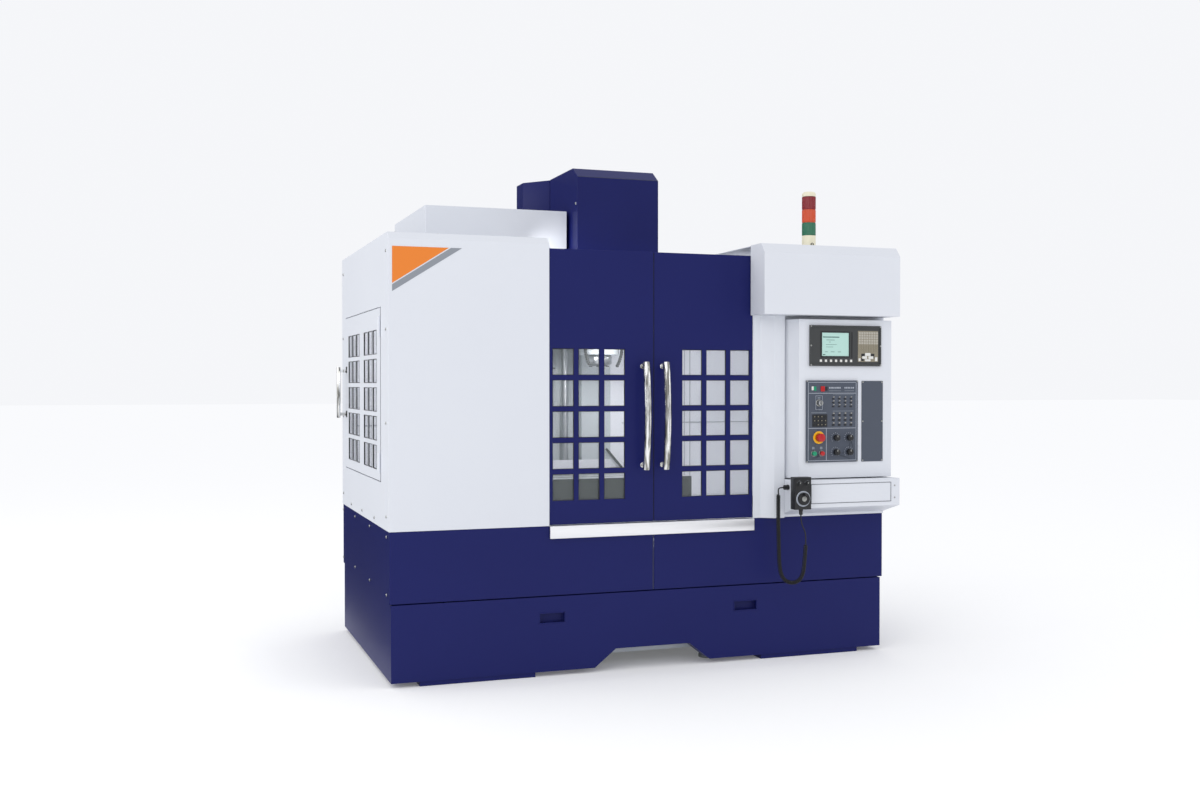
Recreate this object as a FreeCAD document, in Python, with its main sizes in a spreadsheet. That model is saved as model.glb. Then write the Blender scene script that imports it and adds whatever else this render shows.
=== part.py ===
"""Vertical CNC machining center with a full splash guard, an umbrella tool
magazine, a pull-out coolant tank and a handwheel pendant on a curly cord.

Every size is in millimetres. Each sub-part is drawn from the machine's datum,
the front left corner of the splash guard at floor level: X runs to the right,
Y to the back and Z up. Its Placement then carries the datum into the part's
frame, whose origin is the middle of the machine's footprint.
"""
import FreeCAD, Part
import math
import os
import re
import Sketcher

from FreeCAD import Placement, Rotation, Vector

SIZES = {
    # splash guard
    "overall_width": 2526, "side_depth": 1430, "sheet": 3,
    "guard_width": 745, "opening_width": 1045,
    "tank_top": 374, "base_top": 697, "guard_top": 2032, "edge_chamfer": 30,
    # double doors
    "door_top": 1982, "door_bottom": 701, "door_thick": 28, "door_recess": 6,
    "door_gap": 4,
    "pane_wide": 105, "pane_tall": 124, "bar_wide": 22, "pane_rows": 5, "pane_columns": 3,
    "window_bottom": 812, "window_inset": 16, "glass": 6,
    "grip_length": 505, "grip_radius": 16.5, "grip_standoff": 34, "grip_bow": 22,
    "grip_bottom": 952, "grip_side": 58,
    "sill_tall": 58, "sill_proud": 14,
    "rail_depth": 46, "rail_tall": 44,
    # side door
    "side_front": 200, "side_rear_margin": 140, "side_bottom": 905, "side_top": 1709,
    "side_gap": 5, "side_thick": 20, "side_lip": 2, "hinge_radius": 7, "hinge_out": 7.3,
    "side_window_front": 300, "side_window_gap": 140, "side_window_bottom": 958,
    "side_window_tail": 114, "side_pane_tall": 112,
    "handle_reach": 55, "side_grip_radius": 10, "side_grip_length": 270, "side_grip_bottom": 1174,
    # base, covers and coolant tank
    "cover_recess": 4, "tank_inset": 18, "tank_short": 4, "tank_wing": 560, "tank_gap": 6,
    "tank_wall": 4, "runner_tall": 22, "grip_hole_wide": 118, "grip_hole_tall": 42,
    "grip_hole_deep": 30, "grip_hole_bottom": 250, "grip_hole_left": 700, "grip_hole_right": 1690,
    "arch_top": 106, "arch_top_wide": 378, "arch_foot_wide": 590,
    "bed_width": 760, "bed_front": 120, "bed_tail": 20, "bed_bottom": 60, "bed_top": 560,
    "way_width": 90, "way_tall": 40, "foot_radius": 45, "foot_pad": 24, "foot_stud": 14,
    # column, saddle, table
    "spindle_right": 1263, "throat": 555,
    "column_width": 654, "column_lap": 100, "column_depth": 550,
    "slide_gap": 0.3,
    "saddle_width": 800, "saddle_depth": 640, "saddle_tall": 165,
    "table_length": 1000, "table_depth": 500, "table_tall": 105, "table_shift": 70,
    "slot_pitch": 125, "slot_wide": 18, "slot_neck": 20, "slot_under": 30, "slot_under_tall": 12,
    "screw_radius": 20,
    # head and spindle
    "head_bottom": 1560, "head_top": 2150, "head_ahead": 175,
    "nose_radius": 80, "nose_bottom": 1450, "taper_radius": 22, "taper_deep": 60,
    "motor_width": 260, "motor_tall": 240,
    "head_cover_wide": 440, "head_cover_ahead": 295, "head_cover_behind": 170,
    "head_cover_bottom": 1640, "head_cover_top": 2455, "head_cover_edge": 2403,
    "head_cover_slope": 75,
    "column_cover_bottom": 2250, "column_cover_lap": 10, "column_cover_flare_ahead": 240,
    "column_cover_wide": 660, "column_cover_side_ahead": 115, "column_cover_reach": 70,
    "column_cover_tail": 536,
    # tool magazine
    "disc_radius": 310, "pocket_circle": 270, "pocket_radius": 24, "pocket_count": 16,
    "disc_thick": 30, "disc_drop": 18, "magazine_travel": 290,
    "magazine_left": 290, "magazine_clear": 18, "magazine_ahead": 175, "magazine_top": 2240,
    # right side: hood, control box, shelf
    "hood_left": 1775, "hood_reach": 150, "hood_bottom": 1690, "hood_edge": 1987,
    "box_left": 1942, "box_bevel": 48, "box_right": 2510, "box_reach": 96, "box_bottom": 892,
    "box_top": 1672, "guard_step": 40, "step_left": 1830, "step_right": 1885,
    "shelf_reach": 150, "shelf_top": 886, "shelf_edge": 752, "shelf_heel": 708,
    "display_wide": 400, "display_tall": 200, "display_left": 2045, "display_bottom": 1443,
    "plate_thick": 8, "panel_left": 2026, "panel_wide": 287, "panel_tall": 402, "panel_bottom": 970,
    # controls on the operator panel
    "stop_radius": 20, "stop_tall": 24, "stop_travel": 5, "stop_right": 2095, "stop_up": 1092,
    "button_radius": 11, "button_tall": 10, "button_gap": 0.5,
    "start_right": 2066, "hold_right": 2110, "start_up": 1014,
    "knob_radius": 15, "knob_tall": 18, "knob_left": 2188, "knob_pitch": 74, "knob_low": 1019,
    "knob_rise": 71, "key_radius": 12, "key_tall": 16, "key_right": 2095, "key_up": 1262,
    # signal tower
    "tower_right": 2261, "tower_back": 300, "tower_radius": 36, "lens_tall": 68,
    "tower_base_tall": 98, "tower_cap_tall": 24,
    # rear cabinet
    "cabinet_clear": 70, "cabinet_wide": 800, "cabinet_bottom": 420, "cabinet_tall": 1500,
    "cabinet_short": 20, "cabinet_wall": 3,
    # pendant and its cord
    "pendant_wide": 86, "pendant_tall": 155, "pendant_deep": 46, "pendant_left": 1913,
    "pendant_bottom": 752, "pendant_gap": 6, "dial_radius": 30, "dial_tall": 12,
    "gland_radius": 12, "gland_long": 24, "lead_width": 7, "curl_width": 22,
}

doc = FreeCAD.newDocument("machining_center")
sheet = doc.addObject("Spreadsheet::Sheet", "Dims")
for row, (name, value) in enumerate(SIZES.items(), start=1):
    sheet.set(f"A{row}", str(value))
    sheet.setAlias(f"A{row}", name)
doc.recompute()

# Sizes that follow from the sheet's. An expression uses them by name, as it does the sheet's own.
FOLLOWS = {
    "side_rear": "(side_depth - side_rear_margin)",
    "side_pane_wide": "((side_rear - side_window_tail - side_window_front - side_window_gap"
                      " - 4 * bar_wide) / 6)",
    "tank_back": "(side_depth - tank_short)",
    "column_front": "(side_depth - column_lap)",
    "bed_back": "(column_front + column_depth + bed_tail)",
    "spindle_back": "(column_front - throat)",
    "head_front": "(spindle_back - head_ahead)",
    "head_cover_front": "(spindle_back - head_cover_ahead)",
    "head_cover_back": "(spindle_back + head_cover_behind)",
    "column_cover_front": "(head_cover_back + column_cover_lap)",
    "column_cover_flare": "(column_front - column_cover_flare_ahead)",
    "column_cover_side": "(column_front - column_cover_side_ahead)",
    "column_cover_back": "(column_front + column_cover_reach)",
    "magazine_right": "(spindle_right - head_cover_wide / 2 - magazine_clear)",
    "magazine_front": "(spindle_back - magazine_ahead)",
    "cabinet_left": "(spindle_right + column_width / 2 + cabinet_clear)",
    "cabinet_back": "(bed_back - cabinet_short)",
}

# Places that follow from the sheet's sizes.
PENDANT_REACH = "(shelf_reach + pendant_gap + pendant_deep + dial_tall)"
LEFT = "-(overall_width - handle_reach) / 2"
FRONT = f"-(bed_back - {PENDANT_REACH}) / 2"
SPINDLE = "spindle_right"
OPEN_RIGHT = "(guard_width + opening_width)"
OPEN_MIDDLE = "(guard_width + opening_width / 2)"
DOOR_BACK = "(door_recess + door_thick)"
DOOR_WIDTH = "(opening_width / 2 - door_gap / 2)"
SCREW_UP = "(bed_top - 60)"
SADDLE_BOTTOM = "(bed_top + way_tall + slide_gap)"
TABLE_BOTTOM = f"({SADDLE_BOTTOM} + saddle_tall + slide_gap)"
TABLE_TOP = f"({TABLE_BOTTOM} + table_tall)"
TABLE_MIDDLE = f"({SPINDLE} - table_shift)"
DISC_TOP = "(nose_bottom - disc_drop)"
DISC_MIDDLE = f"({SPINDLE} - pocket_circle - magazine_travel)"
BOX_FACE = "(-box_reach)"
PANEL_FACE = "(-box_reach - plate_thick)"

NOT_SIZES = {"sin", "cos", "asin"}
nodes = {}


def bound(text):
    """An expression whose words are looked up in the sheet."""
    def look_up(found):
        word = found.group(0)
        if word in NOT_SIZES:
            return word
        return bound(FOLLOWS[word]) if word in FOLLOWS else f"Dims.{word}"
    return re.sub(r"[a-z][a-z_]+", look_up, str(text))


def amount(text):
    """The present value of an expression."""
    return float(sheet.evalExpression(bound(text)))


def tie(item, **values):
    for name, text in values.items():
        item.setExpression(name.replace("__", "."), bound(text))
    return item


def move(item, right=0, back=0, up=0):
    return tie(item, Placement__Base__x=right, Placement__Base__y=back, Placement__Base__z=up)


def block(right, back, up):
    """A box between two places on each axis."""
    item = doc.addObject("Part::Box", "block")
    spans = [f"({high}) - ({low})" for low, high in (right, back, up)]
    tie(item, Length=spans[0], Width=spans[1], Height=spans[2])
    return move(item, right[0], back[0], up[0])


TURNS = {"x": Rotation(Vector(0, 1, 0), 90), "y": Rotation(Vector(1, 0, 0), -90), "z": Rotation()}


def rod(axis, at, radius, length):
    """A cylinder that runs from a place along +X, +Y or +Z."""
    item = doc.addObject("Part::Cylinder", "rod")
    item.Placement = Placement(Vector(), TURNS[axis])
    tie(item, Radius=radius, Height=length)
    return move(item, *at)


def cut(base, *tools):
    tool = tools[0] if len(tools) == 1 else join(*tools)
    item = doc.addObject("Part::Cut", "cut")
    item.Base, item.Tool = base, tool
    return item


def join(*items):
    item = doc.addObject("Part::MultiFuse", "join")
    item.Shapes = list(items)
    return item


def group(*items):
    item = doc.addObject("Part::Compound", "group")
    item.Links = list(items)
    return item


PLANES = {"x": "YZ_Plane", "y": "XZ_Plane", "z": "XY_Plane"}


def prism(axis, outline, low, high):
    """An outline of points, padded along an axis from one place to another."""
    body = doc.addObject("PartDesign::Body", "prism")
    plane = next(f for f in body.Origin.OriginFeatures if f.Role == PLANES[axis])
    sketch = body.newObject("Sketcher::SketchObject", "outline")
    sketch.AttachmentSupport = [(plane, "")]
    sketch.MapMode = "FlatFace"
    points = [Vector(amount(a), amount(b), 0) for a, b in outline]
    count = len(points)
    for i, start in enumerate(points):
        sketch.addGeometry(Part.LineSegment(start, points[(i + 1) % count]), False)
    for i in range(count):
        sketch.addConstraint(Sketcher.Constraint("Coincident", i, 2, (i + 1) % count, 1))
    for i, place in enumerate(outline):
        for kind, text, value in zip(("DistanceX", "DistanceY"), place, points[i]):
            made = sketch.addConstraint(Sketcher.Constraint(kind, -1, 1, i, 1, value))
            sketch.setExpression(f"Constraints[{made}]", bound(text))
    pad = body.newObject("PartDesign::Pad", "pad")
    pad.Profile = sketch
    pad.Reversed = axis == "y"
    tie(pad, Length=f"({high}) - ({low})")
    shift = f"-({low})" if axis == "y" else low
    tie(sketch, AttachmentOffset__Base__z=shift)
    return body


def turned(outline, at, axis="z"):
    """A profile of radius and height, revolved about an upright axis, then laid along an axis."""
    body = doc.addObject("PartDesign::Body", "turned")
    plane = next(f for f in body.Origin.OriginFeatures if f.Role == "XZ_Plane")
    line = next(f for f in body.Origin.OriginFeatures if f.Role == "Z_Axis")
    sketch = body.newObject("Sketcher::SketchObject", "profile")
    sketch.AttachmentSupport = [(plane, "")]
    sketch.MapMode = "FlatFace"
    points = [Vector(amount(a), amount(b), 0) for a, b in outline]
    count = len(points)
    for i, start in enumerate(points):
        sketch.addGeometry(Part.LineSegment(start, points[(i + 1) % count]), False)
    for i in range(count):
        sketch.addConstraint(Sketcher.Constraint("Coincident", i, 2, (i + 1) % count, 1))
    for i, place in enumerate(outline):
        for kind, text, value in zip(("DistanceX", "DistanceY"), place, points[i]):
            made = sketch.addConstraint(Sketcher.Constraint(kind, -1, 1, i, 1, value))
            sketch.setExpression(f"Constraints[{made}]", bound(text))
    spin = body.newObject("PartDesign::Revolution", "spin")
    spin.Profile = sketch
    spin.ReferenceAxis = (line, [""])
    body.Placement = Placement(Vector(), TURNS[axis])
    return move(body, *at)


def node(name, item):
    """Names a sub-part and carries it from the machine's datum into the part's frame."""
    holder = doc.addObject("Part::Compound", name)
    holder.Links = [item]
    holder.Label = name
    nodes[name] = move(holder, LEFT, FRONT, 0)


# ---------------------------------------------------------------- bed and feet
BED_LEFT = f"({SPINDLE} - bed_width / 2)"
BED_RIGHT = f"({SPINDLE} + bed_width / 2)"
COLUMN_LEFT = f"({SPINDLE} - column_width / 2)"
COLUMN_RIGHT = f"({SPINDLE} + column_width / 2)"
COLUMN_BACK = "(column_front + column_depth)"

# The bed is one hollow iron casting with two ways for the saddle.
bed = block((BED_LEFT, BED_RIGHT), ("bed_front", "bed_back"), ("bed_bottom", "bed_top"))
hollow = block((f"{BED_LEFT} + 60", f"{BED_RIGHT} - 60"), ("bed_front + 60", "bed_back - 60"),
               ("bed_bottom - 1", "bed_top - 120"))
trough = block((f"{SPINDLE} - 150", f"{SPINDLE} + 150"), ("bed_front + 80", "column_front - 40"),
               ("bed_top - 100", "bed_top + 1"))
ways = [block((edge, f"{edge} + way_width"), ("bed_front + 20", "column_front - 20"),
              ("bed_top - 1", "bed_top + way_tall"))
        for edge in (f"{SPINDLE} - 300", f"{SPINDLE} + 300 - way_width")]
node("base_casting", join(cut(bed, hollow, trough), *ways))

feet = []
for right in (f"{BED_LEFT} + 30", f"{BED_RIGHT} - 30"):
    for back in ("bed_front + 30", "(bed_front + bed_back) / 2", "bed_back - 50"):
        feet.append(turned([(0, 0), ("foot_radius", 0), ("foot_radius", "foot_pad * 0.6"),
                            ("foot_stud * 1.6", "foot_pad"), ("foot_stud", "foot_pad"),
                            ("foot_stud", "bed_bottom"), (0, "bed_bottom")], (right, back, 0)))
node("levelling_feet", group(*feet))

# The column is a hollow casting, with its two ways in front and a recess for the screw.
column = block((COLUMN_LEFT, COLUMN_RIGHT), ("column_front", COLUMN_BACK),
               ("bed_top", "column_cover_bottom"))
core = block((f"{COLUMN_LEFT} + 60", f"{COLUMN_RIGHT} - 60"), ("column_front + 90", f"{COLUMN_BACK} - 50"),
             ("bed_top + 80", "column_cover_bottom - 60"))
recess = block((f"{SPINDLE} - 90", f"{SPINDLE} + 90"), ("column_front - 1", "column_front + 70"),
               ("bed_top + 200", "column_cover_bottom - 30"))
node("column", cut(column, core, recess))

node("y_screw", rod("y", (SPINDLE, "bed_front + 80", SCREW_UP), "screw_radius",
                    "column_front - 40 - bed_front - 80"))
node("z_screw", rod("z", (SPINDLE, "column_front + 35", "bed_top + 200"), "screw_radius",
                    "column_cover_bottom - 30 - bed_top - 200"))

# ---------------------------------------------------------------- saddle, table
SADDLE_FRONT = "(spindle_back - saddle_depth / 2)"
SADDLE_BACK = "(spindle_back + saddle_depth / 2)"
saddle = block((f"{SPINDLE} - saddle_width / 2", f"{SPINDLE} + saddle_width / 2"),
               (SADDLE_FRONT, SADDLE_BACK), (SADDLE_BOTTOM, f"{SADDLE_BOTTOM} + saddle_tall"))
nut = block((f"{SPINDLE} - 60", f"{SPINDLE} + 60"), ("spindle_back - 60", "spindle_back + 60"),
            (f"{SCREW_UP} - 35", f"{SADDLE_BOTTOM} + 10"))
nut_bore = rod("y", (SPINDLE, "spindle_back - 70", SCREW_UP), "screw_radius + slide_gap", 140)
node("saddle", cut(join(saddle, nut), nut_bore))

TABLE_LEFT = f"({TABLE_MIDDLE} - table_length / 2)"
TABLE_RIGHT = f"({TABLE_MIDDLE} + table_length / 2)"
TABLE_FRONT = "(spindle_back - table_depth / 2)"
TABLE_BACK = "(spindle_back + table_depth / 2)"
table = block((TABLE_LEFT, TABLE_RIGHT), (TABLE_FRONT, TABLE_BACK), (TABLE_BOTTOM, TABLE_TOP))
slots = []
for step in (-1, 0, 1):
    middle = f"spindle_back + {step} * slot_pitch"
    length = (f"{TABLE_LEFT} - 1", f"{TABLE_RIGHT} + 1")
    slots.append(block(length, (f"{middle} - slot_wide / 2", f"{middle} + slot_wide / 2"),
                       (f"{TABLE_TOP} - slot_neck - 1", f"{TABLE_TOP} + 1")))
    slots.append(block(length, (f"{middle} - slot_under / 2", f"{middle} + slot_under / 2"),
                       (f"{TABLE_TOP} - slot_neck - slot_under_tall", f"{TABLE_TOP} - slot_neck")))
node("table", cut(table, *slots))

# ---------------------------------------------------------------- head, spindle, motor
HEAD_BACK = "(column_front - slide_gap)"
HC_LEFT = f"({SPINDLE} - head_cover_wide / 2)"
HC_RIGHT = f"({SPINDLE} + head_cover_wide / 2)"
head = prism("x", [("head_front", "head_bottom + 120"), ("head_front + 60", "head_bottom"),
                   (HEAD_BACK, "head_bottom"), (HEAD_BACK, "head_top"), ("head_front", "head_top")],
             f"{HC_LEFT} + sheet", f"{HC_RIGHT} - sheet")
nose = rod("z", (SPINDLE, "spindle_back", "nose_bottom + 60"), "nose_radius + 25",
           "head_bottom - nose_bottom")
bore = rod("z", (SPINDLE, "spindle_back", "nose_bottom"), "nose_radius - 15", "head_top - nose_bottom - 40")
mouth = rod("z", (SPINDLE, "spindle_back", "nose_bottom + 59"), "nose_radius - 5", 60)
ways = [block((edge, f"{edge} + 110"), (f"{HEAD_BACK} - 10", HEAD_BACK), ("head_bottom", "head_top"))
        for edge in (f"{SPINDLE} - 200", f"{SPINDLE} + 90")]
nut = block((f"{SPINDLE} - 45", f"{SPINDLE} + 45"), (f"{HEAD_BACK} - 5", "column_front + 62"),
            ("head_bottom + 200", "head_bottom + 320"))
nut_bore = rod("z", (SPINDLE, "column_front + 35", "head_bottom + 190"), "screw_radius + slide_gap", 140)
node("head", cut(join(head, nose, nut, *ways), bore, mouth, nut_bore))

node("spindle", turned(
    [("taper_radius * 0.6", "nose_bottom + taper_deep"), ("taper_radius", "nose_bottom"),
     ("nose_radius - 30", "nose_bottom"), ("nose_radius - 12", "nose_bottom + 12"),
     ("nose_radius - 12", "nose_bottom + 50"), ("nose_radius - 15 - slide_gap", "nose_bottom + 50"),
     ("nose_radius - 15 - slide_gap", "head_top - 60"), (0, "head_top - 60"),
     (0, "nose_bottom + taper_deep")], (SPINDLE, "spindle_back", 0)))
node("spindle_motor", block((f"{SPINDLE} - motor_width / 2", f"{SPINDLE} + motor_width / 2"),
                            ("spindle_back - motor_width / 2", "spindle_back + motor_width / 2"),
                            ("head_top", "head_top + motor_tall")))


def hood_shell(outline, inner, low, high):
    """A folded cover, a wall thick, that is open below and behind."""
    return cut(prism("x", outline, low, high), prism("x", inner, f"{low} + sheet", f"{high} - sheet"))


node("head_cover", hood_shell(
    [("head_cover_front", "head_cover_bottom"), ("head_cover_back", "head_cover_bottom"),
     ("head_cover_back", "head_cover_top"), ("head_cover_front + head_cover_slope", "head_cover_top"),
     ("head_cover_front", "head_cover_edge")],
    [("head_cover_front + sheet", "head_cover_bottom - 1"),
     ("head_cover_back + 1", "head_cover_bottom - 1"),
     ("head_cover_back + 1", "head_cover_top - sheet"),
     ("head_cover_front + head_cover_slope + sheet / 2", "head_cover_top - sheet"),
     ("head_cover_front + sheet", "head_cover_edge - sheet / 2")], HC_LEFT, HC_RIGHT))


def flare(inset, low, high):
    """The column cover's plan: narrow in front, flaring out to its full width."""
    narrow, wide = f"(head_cover_wide / 2 - {inset})", f"(column_cover_wide / 2 - {inset})"
    tail = f"(column_cover_tail / 2 - {inset})"
    front, back = f"column_cover_front + {inset}", f"column_cover_back - {inset}"
    flared = f"column_cover_flare + {inset} / 2"
    return prism("z", [(f"{SPINDLE} - {narrow}", front), (f"{SPINDLE} + {narrow}", front),
                       (f"{SPINDLE} + {wide}", flared), (f"{SPINDLE} + {wide}", "column_cover_side"),
                       (f"{SPINDLE} + {tail}", back), (f"{SPINDLE} - {tail}", back),
                       (f"{SPINDLE} - {wide}", "column_cover_side"), (f"{SPINDLE} - {wide}", flared)],
                 low, high)


node("column_cover", cut(flare(0, "column_cover_bottom", "head_cover_top"),
                         flare("sheet", "column_cover_bottom - 1", "head_cover_top - sheet")))

# ---------------------------------------------------------------- splash guard
EDGE_UP = "(guard_top - edge_chamfer)"
outer = [("0", "base_top"), ("0", EDGE_UP), ("edge_chamfer", "guard_top"),
         ("side_depth", "guard_top"), ("side_depth", "base_top")]
inner = [("sheet", "base_top - 1"), ("sheet", f"{EDGE_UP} - sheet / 2"),
         ("edge_chamfer + sheet / 2", "guard_top - sheet"), ("side_depth + 1", "guard_top - sheet"),
         ("side_depth + 1", "base_top - 1")]
side_opening = block((-1, "sheet + 1"), ("side_front", "side_rear"), ("side_bottom", "side_top"))
roof_opening = block(("magazine_left + sheet", "guard_width + 1"),
                     ("magazine_front + sheet", "side_depth + 1"),
                     ("guard_top - sheet - 1", "guard_top + 1"))
node("left_guard", cut(prism("x", outer, 0, "guard_width"), prism("x", inner, "sheet", "guard_width + 1"),
                       side_opening, roof_opening))

# The right guard steps forward around the control box's corner.
right_shell = cut(prism("x", outer, OPEN_RIGHT, "overall_width"),
                  prism("x", inner, f"{OPEN_RIGHT} - 1", "overall_width - sheet"))
step = prism("z", [("step_left", "0"), ("step_right", "-guard_step"), ("box_left", "-guard_step"),
                   ("box_left", "0")], "base_top", "hood_bottom")
node("right_guard", join(right_shell, step))

node("hood", cut(
    prism("x", [("0", "hood_bottom"), ("-hood_reach", "hood_bottom"), ("-hood_reach", "hood_edge"),
                ("-hood_reach + 38", "guard_top"), ("0", "guard_top")], "hood_left", "overall_width"),
    prism("x", [("1", "hood_bottom + sheet"), ("-hood_reach + sheet", "hood_bottom + sheet"),
                ("-hood_reach + sheet", "hood_edge - sheet / 2"),
                ("-hood_reach + 38 + sheet / 2", "guard_top - sheet"), ("1", "guard_top - sheet")],
          "hood_left + sheet", "overall_width - sheet")))

RAIL_FRONT = f"({DOOR_BACK} + slide_gap)"
node("door_header", block(("sheet", "overall_width - sheet"), (RAIL_FRONT, f"{RAIL_FRONT} + rail_depth"),
                          ("door_top - rail_tall", "door_top")))
node("sill", prism("x", [("-sill_proud", "base_top - sill_tall"), ("-sill_proud", "base_top"),
                         ("rail_depth", "base_top"), ("rail_depth", "base_top - sheet"),
                         ("0", "base_top - sheet"), ("0", "base_top - sill_tall")],
                   "guard_width", OPEN_RIGHT))

BACK_WALL = "(column_front - sheet)"
wall = block(("sheet", "overall_width - sheet"), (BACK_WALL, f"{BACK_WALL} + sheet"),
             ("base_top", "guard_top - sheet"))
wall_opening = block((f"{COLUMN_LEFT} + 60", f"{COLUMN_RIGHT} - 60"),
                     (f"{BACK_WALL} - 1", f"{BACK_WALL} + sheet + 1"),
                     ("base_top + 220", "guard_top"))
RAIL_UP = f"({DISC_TOP} + 330)"
arm_opening = block((f"{DISC_MIDDLE} - 285", f"{COLUMN_LEFT} + 61"),
                    (f"{BACK_WALL} - 1", f"{BACK_WALL} + sheet + 1"),
                    (f"{RAIL_UP} - 95", f"{RAIL_UP} + 95"))
node("rear_guard", cut(wall, wall_opening, arm_opening))

PAN_LEFT, PAN_RIGHT = "(cover_recess + sheet)", "(overall_width - cover_recess - sheet)"
pan = block((PAN_LEFT, PAN_RIGHT), ("rail_depth", BACK_WALL), ("base_top - 70", "base_top - 20"))
pan_hollow = block((f"{PAN_LEFT} + sheet", f"{PAN_RIGHT} - sheet"),
                   ("rail_depth + sheet", f"{BACK_WALL} - sheet"),
                   ("base_top - 70 + sheet", "base_top"))
pan_hole = block((f"{SPINDLE} - saddle_width / 2 - 20", f"{SPINDLE} + saddle_width / 2 + 20"),
                 ("rail_depth + 90", BACK_WALL), ("base_top - 71", "base_top"))
node("chip_pan", cut(pan, pan_hollow, pan_hole))


def base_cover(name, low, high, side):
    """A folded front and side cover between the tank and the guard."""
    front = block((low, high), ("cover_recess", "cover_recess + sheet"), ("tank_top", "base_top"))
    flank = block((side, f"{side} + sheet"), ("cover_recess", "side_depth"), ("tank_top", "base_top"))
    shelf = block((low, high), ("cover_recess", "cover_recess + 40"), ("tank_top", "tank_top + sheet"))
    notch = block(("guard_width", OPEN_RIGHT), ("-1", "cover_recess + 60"),
                  ("base_top - sheet", "base_top + 1"))
    node(name, cut(join(front, flank, shelf), notch))


base_cover("base_cover_left", "cover_recess", OPEN_MIDDLE, "cover_recess")
base_cover("base_cover_right", f"{OPEN_MIDDLE} + 1", "overall_width - cover_recess",
           "overall_width - cover_recess - sheet")

# ---------------------------------------------------------------- coolant tank
TANK_LEFT, TANK_RIGHT = "tank_inset / 2", "(overall_width - tank_inset)"
TANK_TOP = "(tank_top - 4)"
WINGS = ((TANK_LEFT, f"{TANK_LEFT} + tank_wing"), (f"{TANK_RIGHT} - tank_wing", TANK_RIGHT))
front = prism("y", [(TANK_LEFT, "runner_tall"), (f"{SPINDLE} - arch_foot_wide / 2", "runner_tall"),
                    (f"{SPINDLE} - arch_top_wide / 2", "arch_top"), (f"{SPINDLE} + arch_top_wide / 2",
                                                                     "arch_top"),
                    (f"{SPINDLE} + arch_foot_wide / 2", "runner_tall"), (TANK_RIGHT, "runner_tall"),
                    (TANK_RIGHT, TANK_TOP), (TANK_LEFT, TANK_TOP)], "0", "bed_front - tank_gap * 4")
hollow = block((f"{TANK_LEFT} + tank_wall", f"{TANK_RIGHT} - tank_wall"),
               ("tank_wall", "bed_front - tank_gap * 4 - tank_wall"), ("arch_top + tank_wall",
                                                                       f"{TANK_TOP} + 1"))
wings, basins, runners = [], [], []
for low, high in WINGS:
    wings.append(block((low, high), (0, "tank_back"), ("runner_tall", TANK_TOP)))
    basins.append(block((f"{low} + tank_wall", f"{high} - tank_wall"),
                        ("tank_wall", "tank_back - tank_wall"),
                        ("runner_tall + tank_wall", f"{TANK_TOP} + 1")))
for middle in (f"{TANK_LEFT} + 400", f"{TANK_RIGHT} - 400"):
    runners.append(block((f"{middle} - 270", f"{middle} + 270"), (6, "tank_back - 40"), (0, "runner_tall")))
pulls = [block((left, f"{left} + grip_hole_wide"), (-1, "grip_hole_deep - sheet"),
               ("grip_hole_bottom", "grip_hole_bottom + grip_hole_tall"))
         for left in ("grip_hole_left", "grip_hole_right")]
cups = [block((f"{left} - sheet", f"{left} + grip_hole_wide + sheet"), (0, "grip_hole_deep"),
              ("grip_hole_bottom - sheet", "grip_hole_bottom + grip_hole_tall + sheet"))
        for left in ("grip_hole_left", "grip_hole_right")]
tub = cut(join(front, *wings, *runners), hollow, *basins)
node("coolant_tank", cut(join(tub, *cups), *pulls))


# ---------------------------------------------------------------- doors
def pane_holes(left, bottom, depth, wide, tall, columns, along):
    """The window's openings, in rows and columns between the bars."""
    holes = []
    for column in range(columns):
        for row in range(int(SIZES["pane_rows"])):
            low = f"{left} + {column} * ({wide} + bar_wide)"
            span = (low, f"{low} + {wide}")
            up = f"{bottom} + {row} * ({tall} + bar_wide)"
            rise = (up, f"{up} + {tall}")
            holes.append(block(span, depth, rise) if along == "x" else block(depth, span, rise))
    return holes


WINDOW_WIDE = "(pane_columns * pane_wide + (pane_columns - 1) * bar_wide)"
WINDOW_TALL = "(pane_rows * pane_tall + (pane_rows - 1) * bar_wide)"
LEFT_DOOR = "(guard_width + 1)"
RIGHT_DOOR = f"({OPEN_MIDDLE} + door_gap / 2)"
GRIP_BACK = "(door_recess - grip_standoff - grip_radius)"


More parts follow.
